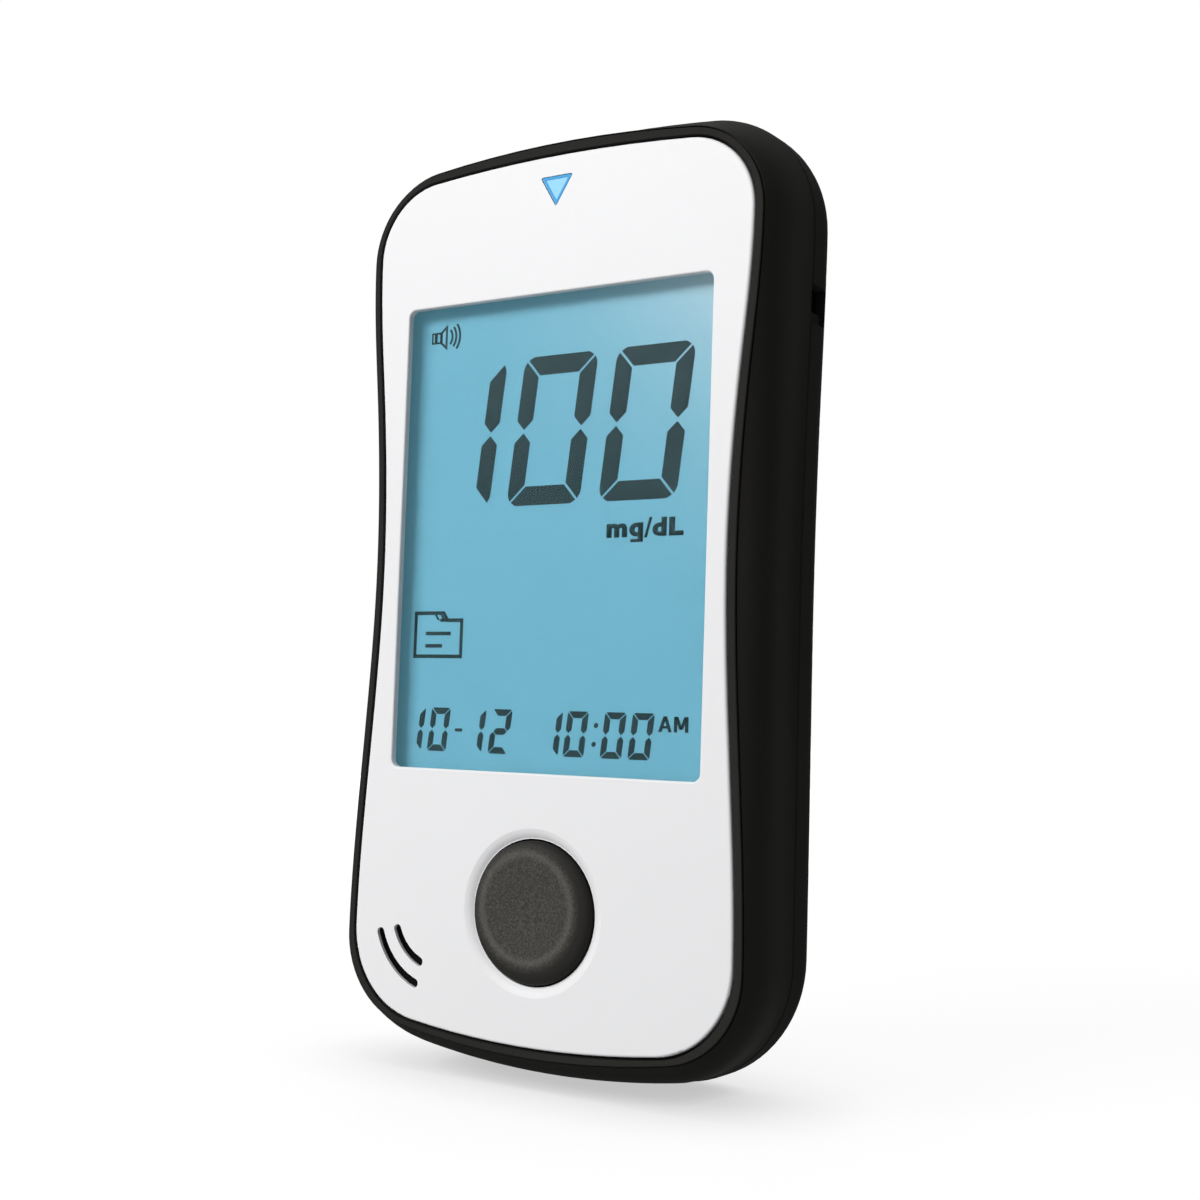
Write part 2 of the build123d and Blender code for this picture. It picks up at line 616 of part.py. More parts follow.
with BuildPart() as slot_guide:
    with BuildSketch(from_above(PORT_FLOOR_Z)):
        with Locations((0, STRIP_DEPTH)):
            Rectangle(PORT_OPENING[0] - 2 * GAP, PORT_OPENING[1] - 2 * GAP)
    extrude(amount=GUIDE_HIGH_Z - PORT_FLOOR_Z)
    with BuildSketch(from_above(PORT_FLOOR_Z)):
        with Locations((0, STRIP_DEPTH)):
            Rectangle(*GUIDE_FLANGE[:2])
    extrude(amount=GUIDE_FLANGE[2])
    with BuildSketch(from_above(PORT_FLOOR_Z)):
        with Locations((0, STRIP_DEPTH)):
            Rectangle(STRIP_WIDTH, STRIP_GAP)
    extrude(amount=GUIDE_HIGH_Z - PORT_FLOOR_Z, mode=Mode.SUBTRACT)
    # flared mouth
    with BuildSketch(from_above(GUIDE_HIGH_Z)):
        with Locations((0, STRIP_DEPTH)):
            Rectangle(STRIP_WIDTH + MOUTH_FLARE, STRIP_GAP + MOUTH_FLARE)
    with BuildSketch(from_above(GUIDE_HIGH_Z - MOUTH_FLARE)):
        with Locations((0, STRIP_DEPTH)):
            Rectangle(STRIP_WIDTH, STRIP_GAP)
    loft(mode=Mode.SUBTRACT)
save(slot_guide, "slot_guide")


# ---------------------------------------------------------------- strip ejector
SLIDER_INNER, SLIDER_OUTER = 22.3, 23.3
SLIDER_FRONT, SLIDER_REAR = 12.9, 16.1
SLIDER_MID_DEPTH, SLIDER_MID_Z = (SLIDER_FRONT + SLIDER_REAR) / 2, 25.0
SLIDER_LENGTH = 11.4
ARM_LOW_Z, ARM_HIGH_Z = 23.2, 26.2
ARM_FRONT, ARM_REAR = 13.0, 14.0
ARM_TAIL = 2.5                # the arm reaches this far past the middle
PUSHER_FRONT, PUSHER_REAR, PUSHER_TIP_Z = 6.3, 6.95, 33.9
POST_SIZE = (5.0, 2.0)
SPRING_X, SPRING_DEPTH = 11.0, 13.5
SPRING_STOP_Z = 33.0
SPRING_COIL_RADIUS, SPRING_WIRE_RADIUS = 1.3, 0.2
SPRING_TURNS = 5
SPRING_END_GAP = 0.3         # wire centre off the arm and off the stop
SPRING_HEIGHT = SPRING_STOP_Z - ARM_HIGH_Z - 2 * SPRING_END_GAP

with BuildPart() as ejector_slider:
    with BuildSketch(across(SLIDER_INNER)):
        with Locations((SLIDER_MID_DEPTH, SLIDER_MID_Z)):
            RectangleRounded(SLIDER_REAR - SLIDER_FRONT, SLIDER_LENGTH, 0.6)
    extrude(amount=SLIDER_OUTER - SLIDER_INNER)
    # finger ridge in the window
    with BuildSketch(across(SLIDER_OUTER)):
        with Locations((SLIDER_MID_DEPTH, EJECTOR_WINDOW_LOW + GAP + RIDGE_SIZE[1] / 2)):
            RectangleRounded(*RIDGE_SIZE, 0.3)
    extrude(amount=RIDGE_HEIGHT)
save(ejector_slider, "ejector_slider")

with BuildPart() as ejector_arm:
    with BuildSketch(at_depth(ARM_REAR)):
        with Locations(((SLIDER_INNER - ARM_TAIL) / 2, (ARM_LOW_Z + ARM_HIGH_Z) / 2)):
            Rectangle(SLIDER_INNER + ARM_TAIL, ARM_HIGH_Z - ARM_LOW_Z)
    extrude(amount=ARM_REAR - ARM_FRONT)
    with BuildSketch(at_depth(ARM_REAR)):
        with Locations((0, ARM_HIGH_Z - POST_SIZE[1] / 2)):
            Rectangle(*POST_SIZE)
    extrude(amount=ARM_REAR - PUSHER_FRONT)
    with BuildSketch(at_depth(PUSHER_REAR)):
        with Locations((0, (ARM_HIGH_Z + PUSHER_TIP_Z) / 2)):
            Rectangle(PUSHER_WIDTH, PUSHER_TIP_Z - ARM_HIGH_Z)
    extrude(amount=PUSHER_REAR - PUSHER_FRONT)
save(ejector_arm, "ejector_arm")

with BuildPart() as ejector_spring:
    with BuildLine() as coil:
        Helix(
            pitch=SPRING_HEIGHT / SPRING_TURNS,
            height=SPRING_HEIGHT,
            radius=SPRING_COIL_RADIUS,
            center=(SPRING_X, FACE_Y + SPRING_DEPTH, DISPLAY_Z + ARM_HIGH_Z + SPRING_END_GAP),
        )
    with BuildSketch(coil.line ^ 0):
        Circle(SPRING_WIRE_RADIUS)
    sweep(is_frenet=True)
save(ejector_spring, "ejector_spring")


# ---------------------------------------------------------------- back housing
BACK_INNER = CASE_DEPTH - BACK_WALL
INNER_WALL = 1.5
LEDGE_INSET, TONGUE_INSET, TONGUE_INNER = 1.3, 2.1, 2.9
LEDGE_THICKNESS = 1.0
TONGUE_FRONT = 10.9
BACK_BOSS_RADIUS = BOSS_RADIUS + 0.2
COVER_LEDGE = 1.2            # rim of the well that the cover rests on
CRADLE_RIB_SIZE, CRADLE_RIB_HEIGHT = (0.6, 9.0), 2.2
CRADLE_RIB_PLACES = ((0, -41.0), (0, -10.5))
SWITCH_HOLE_SIZE = (4.2, 4.6)
TAB_SLOT_LENGTH, TAB_SLOT_DEPTH = 4.3, 1.8
LATCH_SLOT_LENGTH, LATCH_SLOT_DEPTH = 3.0, 5.6
SCOOP_DEPTH = 0.9
SLIDER_REAR_CLEAR = SLIDER_REAR + GAP
SLIDER_NOTCH_REAR, SLIDER_NOTCH_MID_Z, SLIDER_NOTCH_LENGTH = 13.5, 25.3, 19.6
RAIL_THICKNESS, RAIL_LENGTH = 0.5, 15.0
SPRING_STOP_SIZE = (4.0, 1.2)
WELL_MID_Z = (WELL_LOW_Z + WELL_HIGH_Z) / 2
WELL_LENGTH = WELL_HIGH_Z - WELL_LOW_Z
COVER_MID_Z = (COVER_LOW_Z + COVER_HIGH_Z) / 2
COVER_LENGTH = COVER_HIGH_Z - COVER_LOW_Z
LATCH_TOP = COVER_HIGH_Z + 2.2

with BuildPart() as back_housing:
    with BuildSketch(at_depth(CASE_DEPTH)):
        add(outline(SEAM))
    extrude(amount=CASE_DEPTH - SEAM_DEPTH)
    fillet(
        back_housing.faces().sort_by(Axis.Y)[-1].outer_wire().edges(),
        radius=BACK_ROUND,
    )
    chamfer(front_edges(back_housing), length=SEAM_CHAMFER)
    with BuildSketch(at_depth(BACK_INNER)):
        add(outline(SEAM, -INNER_WALL))
    extrude(amount=BACK_INNER - SEAM_DEPTH, mode=Mode.SUBTRACT)
    # tongue that enters the front housing, on a ledge inside the wall
    with BuildSketch(at_depth(SEAM_DEPTH + LEDGE_THICKNESS)):
        add(outline(SEAM, -LEDGE_INSET))
        add(outline(SEAM, -TONGUE_INNER), mode=Mode.SUBTRACT)
    extrude(amount=LEDGE_THICKNESS)
    with BuildSketch(at_depth(SEAM_DEPTH)):
        add(outline(SEAM, -TONGUE_INSET))
        add(outline(SEAM, -TONGUE_INNER), mode=Mode.SUBTRACT)
    extrude(amount=SEAM_DEPTH - TONGUE_FRONT)
    # screw bosses with deep counterbores
    with BuildSketch(at_depth(BACK_INNER)):
        with Locations(*CASE_SCREWS):
            Circle(BACK_BOSS_RADIUS)
    extrude(amount=BACK_INNER - SEAM_DEPTH - GAP)
    with BuildSketch(at_depth(CASE_DEPTH)):
        with Locations(*CASE_SCREWS):
            Circle(CASE_SCREW.head_radius + 0.2)
    extrude(amount=CASE_DEPTH - CASE_SCREW.seat, mode=Mode.SUBTRACT)
    with BuildSketch(at_depth(CASE_SCREW.seat)):
        with Locations(*CASE_SCREWS):
            Circle(CASE_SCREW.radius + 0.15)
    extrude(amount=CASE_SCREW.seat - SEAM_DEPTH, mode=Mode.SUBTRACT)
    # battery well: walls, floor, cover ledge and the cell cradle
    with BuildSketch(at_depth(BACK_INNER)):
        with Locations((0, WELL_MID_Z)):
            Rectangle(2 * (WELL_HALF_WIDTH + WELL_WALL), WELL_LENGTH + 2 * WELL_WALL)
            Rectangle(2 * WELL_HALF_WIDTH, WELL_LENGTH, mode=Mode.SUBTRACT)
    extrude(amount=BACK_INNER - WELL_FLOOR_FRONT)
    with BuildSketch(at_depth(WELL_FLOOR_REAR)):
        with Locations((0, WELL_MID_Z)):
            Rectangle(2 * (WELL_HALF_WIDTH + WELL_WALL), WELL_LENGTH + 2 * WELL_WALL)
        with Locations((0, SET_KEY_Z)):
            Rectangle(*SWITCH_HOLE_SIZE, mode=Mode.SUBTRACT)
    extrude(amount=WELL_FLOOR_REAR - WELL_FLOOR_FRONT)
    with BuildSketch(at_depth(BACK_INNER)):
        with Locations((0, COVER_MID_Z)):
            Rectangle(2 * (COVER_HALF_WIDTH + COVER_LEDGE), COVER_LENGTH + 2 * COVER_LEDGE)
        with Locations((0, WELL_MID_Z)):
            Rectangle(2 * WELL_HALF_WIDTH, WELL_LENGTH, mode=Mode.SUBTRACT)
    extrude(amount=1.0)
    with BuildSketch(at_depth(WELL_FLOOR_REAR)):
        with Locations(*CRADLE_RIB_PLACES):
            Rectangle(*CRADLE_RIB_SIZE)
    extrude(amount=-CRADLE_RIB_HEIGHT)
    # opening for the cover, slots for its tabs and its latch, and a fingertip scoop
    with BuildSketch(at_depth(CASE_DEPTH)):
        with Locations((0, COVER_MID_Z)):
            RectangleRounded(
                2 * (COVER_HALF_WIDTH + GAP), COVER_LENGTH + 2 * GAP, COVER_CORNER + GAP
            )
    extrude(amount=BACK_WALL, mode=Mode.SUBTRACT)
    with BuildSketch(at_depth(BACK_INNER)):
        with Locations((-TAB_X, COVER_LOW_Z - 0.15), (TAB_X, COVER_LOW_Z - 0.15)):
            Rectangle(TAB_WIDTH + 4 * GAP, TAB_SLOT_LENGTH)
    extrude(amount=TAB_SLOT_DEPTH, mode=Mode.SUBTRACT)
    with BuildSketch(at_depth(CASE_DEPTH)):
        with Locations((0, LATCH_TOP - LATCH_SLOT_LENGTH / 2)):
            Rectangle(LATCH_WIDTH + 8 * GAP, LATCH_SLOT_LENGTH)
    extrude(amount=LATCH_SLOT_DEPTH, mode=Mode.SUBTRACT)
    with BuildSketch(across(-LATCH_WIDTH / 2)):
        with Locations((CASE_DEPTH + SCOOP_RADIUS - SCOOP_DEPTH, LATCH_TOP + 1.0)):
            Circle(SCOOP_RADIUS)
    extrude(amount=LATCH_WIDTH, mode=Mode.SUBTRACT)
    # window for the ejector ridge, with the tongue and ledge cleared for the slider behind it
    with BuildSketch(across(SLIDER_INNER)):
        with Locations(
            ((SEAM_DEPTH + SLIDER_REAR_CLEAR) / 2, (EJECTOR_WINDOW_LOW + EJECTOR_WINDOW_HIGH) / 2)
        ):
            Rectangle(SLIDER_REAR_CLEAR - SEAM_DEPTH, EJECTOR_WINDOW_HIGH - EJECTOR_WINDOW_LOW)
    extrude(amount=4.0, mode=Mode.SUBTRACT)
    with BuildSketch(across(SLIDER_INNER - 2.0)):
        with Locations(((TONGUE_FRONT + SLIDER_NOTCH_REAR) / 2, SLIDER_NOTCH_MID_Z)):
            Rectangle(SLIDER_NOTCH_REAR - TONGUE_FRONT, SLIDER_NOTCH_LENGTH)
    extrude(amount=SLIDER_OUTER + GAP - SLIDER_INNER + 2.0, mode=Mode.SUBTRACT)
    # rail behind the slider and stop for the ejector spring
    with BuildSketch(at_depth(BACK_INNER)):
        with Locations((SLIDER_INNER - GAP - RAIL_THICKNESS / 2, SLIDER_MID_Z)):
            Rectangle(RAIL_THICKNESS, RAIL_LENGTH)
    extrude(amount=BACK_INNER - ARM_REAR - 3 * GAP)
    with BuildSketch(at_depth(BACK_INNER)):
        with Locations((SPRING_X, SPRING_STOP_Z + SPRING_STOP_SIZE[1] / 2)):
            Rectangle(*SPRING_STOP_SIZE)
    extrude(amount=BACK_INNER - SPRING_DEPTH + SPRING_COIL_RADIUS + 0.4)
save(back_housing, "back_housing")


# ---------------------------------------------------------------- battery cover
GRIP_RIDGES, GRIP_PITCH, GRIP_SIZE = 5, 1.8, (12.0, 0.8)
GRIP_BELOW_TOP, GRIP_CUT = 8.0, 0.3
TAB_LENGTH, TAB_THICKNESS = 2.7, 0.85
TAB_FOOT_LENGTH, TAB_FOOT_HEIGHT = 1.0, 1.0
LEG_DEPTH = 13.6             # the latch turns back here

with BuildPart() as battery_cover:
    with BuildSketch(at_depth(CASE_DEPTH)):
        with Locations((0, COVER_MID_Z)):
            RectangleRounded(2 * COVER_HALF_WIDTH, COVER_LENGTH, COVER_CORNER)
    extrude(amount=COVER_THICKNESS)
    # grip ridges near the latch
    with BuildSketch(at_depth(CASE_DEPTH - GRIP_CUT)):
        with Locations((0, COVER_HIGH_Z - GRIP_BELOW_TOP)):
            with GridLocations(0, GRIP_PITCH, 1, GRIP_RIDGES):
                SlotOverall(*GRIP_SIZE)
    extrude(amount=-GRIP_CUT, mode=Mode.SUBTRACT)
    # tabs that hook under the foot of the back housing
    with BuildSketch(at_depth(BACK_INNER - 0.15)):
        with Locations((-TAB_X, COVER_LOW_Z - 0.25), (TAB_X, COVER_LOW_Z - 0.25)):
            Rectangle(TAB_WIDTH, TAB_LENGTH)
    extrude(amount=TAB_THICKNESS)
    with BuildSketch(at_depth(BACK_INNER)):
        with Locations((-TAB_X, COVER_LOW_Z + 0.6), (TAB_X, COVER_LOW_Z + 0.6)):
            Rectangle(TAB_WIDTH, TAB_FOOT_LENGTH)
    extrude(amount=TAB_FOOT_HEIGHT)
    # sprung latch, bent back on itself
    with BuildSketch(across(-LATCH_WIDTH / 2)):
        with BuildLine():
            Polyline(
                (BACK_INNER, COVER_HIGH_Z - 0.5),
                (LEG_DEPTH, COVER_HIGH_Z - 0.5),
            )
            ThreePointArc(
                (LEG_DEPTH, COVER_HIGH_Z - 0.5),
                (LEG_DEPTH - 1.15, COVER_HIGH_Z + 0.65),
                (LEG_DEPTH, COVER_HIGH_Z + 1.8),
            )
            Polyline(
                (LEG_DEPTH, COVER_HIGH_Z + 1.8),
                (15.3, COVER_HIGH_Z + 1.8),
                (16.3, COVER_HIGH_Z + 2.1),
                (16.5, COVER_HIGH_Z + 2.1),
                (16.5, COVER_HIGH_Z + 1.8),
                (CASE_DEPTH - 0.3, COVER_HIGH_Z + 1.8),
                (CASE_DEPTH - 0.3, COVER_HIGH_Z + 1.1),
                (LEG_DEPTH, COVER_HIGH_Z + 1.1),
            )
            ThreePointArc(
                (LEG_DEPTH, COVER_HIGH_Z + 1.1),
                (LEG_DEPTH - 0.45, COVER_HIGH_Z + 0.65),
                (LEG_DEPTH, COVER_HIGH_Z + 0.2),
            )
            Polyline(
                (LEG_DEPTH, COVER_HIGH_Z + 0.2),
                (BACK_INNER + 0.3, COVER_HIGH_Z + 0.2),
                (BACK_INNER + 0.3, COVER_HIGH_Z - 0.5),
                (BACK_INNER, COVER_HIGH_Z - 0.5),
            )
        make_face()
    extrude(amount=LATCH_WIDTH)
save(battery_cover, "battery_cover")


# ---------------------------------------------------------------- battery cells and contacts
CELL_GAP = 0.05
LEFT_CELL_TOP = WELL_HIGH_Z - CONTACT_THICKNESS - CELL_GAP
RIGHT_CELL_LOW = WELL_LOW_Z + CONTACT_THICKNESS + CELL_GAP
SLEEVE_EDGE, SLEEVE_TURN = 4.9, 0.4        # the sleeve turns in round each end
CONTACT_WIDTH, CONTACT_CORNER = 7.0, 0.8
CONTACT_LOW_DEPTH, CONTACT_HIGH_DEPTH = 7.6, 14.6
COIL_WIRE_RADIUS, COIL_RADIUS, COIL_TURNS, COIL_TAPER = 0.25, 3.2, 3, 18


def cell_axis_plane(x, z):
    """Plane through a cell's axis: its first axis is radius, its second is height above z."""
    return Plane(
        origin=(x, FACE_Y + CELL_DEPTH, DISPLAY_Z + z), x_dir=(1, 0, 0), z_dir=(0, -1, 0)
    )


def make_cell(name, x, low_z, nub_up):
    """AAA cell: crimped can with a nub at the positive end."""
    body = CELL_LENGTH - NUB_HEIGHT
    plane = cell_axis_plane(x, low_z)
    with BuildPart() as cell:
        with BuildSketch(plane):
            with BuildLine():
                Polyline(
                    (0, 0),
                    (3.6, 0),
                    (3.8, 0.3),
                    (SLEEVE_EDGE, 0.3),
                    (CELL_RADIUS, 0.3 + SLEEVE_TURN),
                    (CELL_RADIUS, body - 0.3 - SLEEVE_TURN),
                    (SLEEVE_EDGE, body - 0.3),
                    (4.4, body - 0.3),
                    (4.2, body),
                    (NUB_RADIUS, body),
                    (NUB_RADIUS, CELL_LENGTH - 0.2),
                    (NUB_RADIUS - 0.2, CELL_LENGTH),
                    (0, CELL_LENGTH),
                    close=True,
                )
            make_face()
            if not nub_up:
                mirror(about=Plane.XZ.offset(-CELL_LENGTH / 2), mode=Mode.REPLACE)
        revolve(axis=Axis(plane.origin, (0, 0, 1)))
    save(cell, name)


make_cell("battery_left", -CELL_X, LEFT_CELL_TOP - CELL_LENGTH, True)
make_cell("battery_right", CELL_X, RIGHT_CELL_LOW, False)


def contact_plate(x, width, z):
    """Flat contact against an end wall of the well."""
    mid_depth = (CONTACT_LOW_DEPTH + CONTACT_HIGH_DEPTH) / 2
    with BuildPart() as plate:
        with BuildSketch(from_above(z)):
            with Locations((x, mid_depth)):
                RectangleRounded(width, CONTACT_HIGH_DEPTH - CONTACT_LOW_DEPTH, CONTACT_CORNER)
        extrude(amount=CONTACT_THICKNESS)
    return plate.part


def contact_spring(x, z, height, upwards):
    """Tapered coil that presses on the flat end of a cell."""
    lean = 1 if upwards else -1
    rise = height - 2 * COIL_WIRE_RADIUS
    start_z = DISPLAY_Z + z + 0.5 * lean * COIL_WIRE_RADIUS
    with BuildPart() as spring:
        with BuildLine() as coil:
            Helix(
                pitch=rise / COIL_TURNS,
                height=rise,
                radius=COIL_RADIUS,
                center=(x, FACE_Y + CELL_DEPTH, start_z),
                direction=(0, 0, lean),
                cone_angle=-COIL_TAPER,
            )
        with BuildSketch(coil.line ^ 0):
            Circle(COIL_WIRE_RADIUS)
        sweep(is_frenet=True)
    return spring.part


CELL_SPRING = WELL_LENGTH - CELL_LENGTH - 2 * CONTACT_THICKNESS - 2 * CELL_GAP

with BuildPart() as battery_bridge:
    add(contact_plate(0, 2 * CELL_X + CONTACT_WIDTH, WELL_LOW_Z))
    add(contact_spring(-CELL_X, WELL_LOW_Z + CONTACT_THICKNESS, CELL_SPRING, True))
save(battery_bridge, "battery_bridge")

with BuildPart() as battery_plus:
    add(contact_plate(-CELL_X, CONTACT_WIDTH, WELL_HIGH_Z - CONTACT_THICKNESS))
save(battery_plus, "battery_plus")

with BuildPart() as battery_minus:
    add(contact_plate(CELL_X, CONTACT_WIDTH, WELL_HIGH_Z - CONTACT_THICKNESS))
    add(contact_spring(CELL_X, WELL_HIGH_Z - CONTACT_THICKNESS, CELL_SPRING, False))
save(battery_minus, "battery_minus")
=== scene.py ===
"""Finishes, display contents and stage for a hand-held blood glucose meter.

Every place is in metres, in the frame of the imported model: +X to the right seen from the front,
+Y from the display towards the back, +Z up.
"""

import math

import bmesh
import bpy
from bpy.props import FloatProperty, FloatVectorProperty, IntProperty, PointerProperty, StringProperty
from mathutils import Matrix, Vector


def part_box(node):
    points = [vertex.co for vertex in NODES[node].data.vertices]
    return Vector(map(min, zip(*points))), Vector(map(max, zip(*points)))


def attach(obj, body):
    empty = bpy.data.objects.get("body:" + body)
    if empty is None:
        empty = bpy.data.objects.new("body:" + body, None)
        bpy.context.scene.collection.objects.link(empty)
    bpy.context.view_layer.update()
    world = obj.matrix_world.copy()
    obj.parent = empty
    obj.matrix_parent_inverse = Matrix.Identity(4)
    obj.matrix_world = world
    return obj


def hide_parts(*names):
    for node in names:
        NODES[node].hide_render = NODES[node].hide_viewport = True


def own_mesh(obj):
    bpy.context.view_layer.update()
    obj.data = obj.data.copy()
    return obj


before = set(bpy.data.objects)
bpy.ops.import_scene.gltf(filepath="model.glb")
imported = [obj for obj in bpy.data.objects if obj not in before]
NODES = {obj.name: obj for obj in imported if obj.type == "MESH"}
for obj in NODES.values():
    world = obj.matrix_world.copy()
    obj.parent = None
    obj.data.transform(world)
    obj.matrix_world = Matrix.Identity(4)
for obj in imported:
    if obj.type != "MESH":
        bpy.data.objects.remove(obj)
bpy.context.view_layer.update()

bl_info = {
    "name": "Blood glucose meter",
    "version": (1, 0, 0),
    "blender": (4, 5, 0),
    "location": "View3D > Sidebar > Meter",
    "description": "Finishes, display contents and stage for a hand-held blood glucose meter",
    "category": "Object",
}

MM = 0.001
CASE = "case"


def middle(node):
    """Centre of a CAD node's box."""
    low, high = (Vector(corner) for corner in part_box(node))
    return (low + high) / 2


GLASS_LOW, GLASS_HIGH = (Vector(corner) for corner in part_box("lcd_glass"))
LENS_MIDDLE = middle("display_lens")
FACE_FRONT = (math.pi / 2, 0, 0)    # turns a flat primitive to the front
INK = 0.03 * MM                     # height of a driven mark over the glass
SUNK = 0.01 * MM                    # how far a mark is let into what carries it

KEY_SHADE_SHIFT = Vector((-0.5, 0.0, 0.5)) * MM        # painted shade and highlight on the key are centred up and left of its middle, shading its lower right more
KEY_SHADE_START, KEY_SHADE_END = 5.8 * MM, 7.1 * MM          # painted shade on the key's shoulder grows between these radii
KEY_RIDGE_HIGHLIGHT, RIDGE_HIGHLIGHT_HALF = 5.7 * MM, 0.7 * MM      # painted highlight ring on the key's ridge: radius and half of the width
RIM_WIDTH, RIM_HEIGHT = 0.24 * MM, 0.06 * MM    # painted shade line: deep blue rim round the marker window
DISPLAY_GLOW = 0.7                              # strength of the display's glow: its backlight, with painted light that lightens the shade in its recess
DISPLAY_GLARE = (0.21, 0.288, 0.322, 1.0)       # painted reflection: lighter ground of the display at its upper right corner
BARE_END = 1.4 * MM                             # metal that a cell's sleeve leaves free
SLEEVE_BAND = 9 * MM                            # pale band at a cell's positive end

DATE = "1012"
DATE_PLACES = (-18.6, -15.05, -10.05, -6.5)    # centres of the digits, in millimetres
DASH_PLACE = -12.25 * MM
TIME = "1000"
TIME_PLACES = (0.2, 3.5, 8.25, 11.7)           # centres of the digits, in millimetres
DOTS_PLACE = 5.95 * MM

# Letter, left and lower edge, width and height in millimetres, weight, and steps of a curve.
# A q stands for the g, with a hook under it. Another hangs upside down from its upper edge, as the d.
UNIT_LETTERS = (
    ("m", 0.0, 0.0, 2.6, 1.5, 0.05, 6),
    ("q", 2.85, -0.56, 1.73, 2.08, 0.05, 4),
    ("/", 4.72, -0.1, 0.95, 2.14, 0.02, 6),
    ("q", 5.72, 2.0, 1.73, -2.0, 0.05, 4),
    ("L", 7.75, 0.0, 1.75, 1.97, 0.055, 6),
)

# Reach of each painted contact shadow on the floor where the meter stands near it, and its darkest level.
FLOOR_SHADES = ((2.5 * MM, 0.85), (14 * MM, 0.78), (45 * MM, 0.86))


# ---- settings
class MeterColours(bpy.types.PropertyGroup):
    """Colours of the meter's surfaces, as linear values."""

    case: FloatVectorProperty(
        name="Case", description="Black moulding of the housings",
        subtype="COLOR", default=(0.027, 0.0265, 0.025),
    )
    plate: FloatVectorProperty(
        name="Face plate", description="White plate round the display",
        subtype="COLOR", default=(0.84, 0.84, 0.85),
    )
    key: FloatVectorProperty(
        name="Key", description="Rubber of the round key",
        subtype="COLOR", default=(0.049, 0.047, 0.042),
    )
    display: FloatVectorProperty(
        name="Display", description="Lit ground of the display",
        subtype="COLOR", default=(0.067, 0.187, 0.244),
    )
    segments: FloatVectorProperty(
        name="Segments", description="Driven marks on the display",
        subtype="COLOR", default=(0.011, 0.028, 0.032),
    )
    marker: FloatVectorProperty(
        name="Marker", description="Window over the indicator light",
        subtype="COLOR", default=(0.30, 0.68, 0.95),
    )


class MeterDisplay(bpy.types.PropertyGroup):
    """What the display shows, and how large."""

    value: StringProperty(name="Value", description="Reading, of the digits 0, 1 and 2", default="100")
    value_height: FloatProperty(
        name="Value height", description="Height of the large digits", unit="LENGTH", default=16.8 * MM
    )
    value_x: FloatProperty(
        name="Value place", description="Centre of the last large digit", unit="LENGTH", default=11.2 * MM
    )
    value_z: FloatProperty(
        name="Value height above centre", description="Centre of the large digits",
        unit="LENGTH", default=11.4 * MM,
    )
    clock_height: FloatProperty(
        name="Clock height", description="Height of the small digits", unit="LENGTH", default=5.0 * MM
    )
    clock_z: FloatProperty(
        name="Clock height above centre", description="Centre of the small digits",
        unit="LENGTH", default=-21.75 * MM,
    )
    slant: FloatProperty(name="Slant", description="Lean of the digits, as a slope", default=0.118)
    corner_steps: IntProperty(name="Corner steps", description="Faces round each digit corner", default=5)


class MeterStage(bpy.types.PropertyGroup):
    """Camera and lights. Angles are in degrees and powers in watts."""

    azimuth: FloatProperty(name="Azimuth", description="View direction from +Y", default=33.188)
    elevation: FloatProperty(name="Elevation", description="View from above the horizon", default=-4.188)
    roll: FloatProperty(name="Roll", description="Turn of the picture", default=1.868)
    lens: FloatProperty(name="Lens", description="Focal length in millimetres", default=51.05)
    eye: FloatVectorProperty(
        name="Eye", description="Place of the camera", subtype="XYZ", default=(0.10493, -0.15775, 0.03865)
    )
    front_power: FloatProperty(name="Front lamp", description="Power of the large front lamp", default=8.0)
    top_power: FloatProperty(name="Top lamp", description="Power of the lamp overhead", default=0.3)
    back_power: FloatProperty(name="Back lamp", description="Power of the lamp behind", default=6.0)
    sky: FloatProperty(name="Sky", description="Level of the light from all round", default=0.2)


# ---- node building
def add_node(tree, kind, inputs=None, **attributes):
    """A new node with its attributes set and its inputs given as values or as sockets to link from."""
    node = tree.nodes.new(kind)
    for name, value in attributes.items():
        setattr(node, name, value)
    for name, value in (inputs or {}).items():
        if isinstance(value, bpy.types.NodeSocket):
            tree.links.new(value, node.inputs[name])
        else:
            node.inputs[name].default_value = value
    return node


def maths(tree, operation, first, second=0.0, third=0.0):
    """Result of one Math node."""
    return add_node(tree, "ShaderNodeMath", {0: first, 1: second, 2: third}, operation=operation).outputs[0]


def vector_length(tree, vector):
    """Length of a vector."""
    return add_node(tree, "ShaderNodeVectorMath", {0: vector}, operation="LENGTH").outputs["Value"]


def between(tree, value, low, high, start=0.0, end=1.0, curve="LINEAR"):
    """Value carried over from the range low to high into the range start to end."""
    given = {"Value": value, "From Min": low, "From Max": high, "To Min": start, "To Max": end}
    return add_node(tree, "ShaderNodeMapRange", given, interpolation_type=curve).outputs[0]


def blend(tree, factor, first, second):
    """Colour mixed from first to second by a factor."""
    node = add_node(tree, "ShaderNodeMix", data_type="RGBA")
    for socket, value in ((node.inputs[0], factor), (node.inputs[6], first), (node.inputs[7], second)):
        if isinstance(value, bpy.types.NodeSocket):
            tree.links.new(value, socket)
        else:
            socket.default_value = value
    return node.outputs[2]


def ramp(tree, value, *stops):
    """Value passed through a colour ramp of (position, grey) stops."""
    node = add_node(tree, "ShaderNodeValToRGB", {"Fac": value})
    points = node.color_ramp.elements
    while len(points) < len(stops):
        points.new(0.5)
    for point, (position, grey) in zip(points, stops):
        point.position = position
        point.color = (grey, grey, grey, 1.0)
    return node.outputs["Color"]


def opaque(colour, gain=1.0):
    """Colour with four values."""
    return (colour[0] * gain, colour[1] * gain, colour[2] * gain, 1.0)


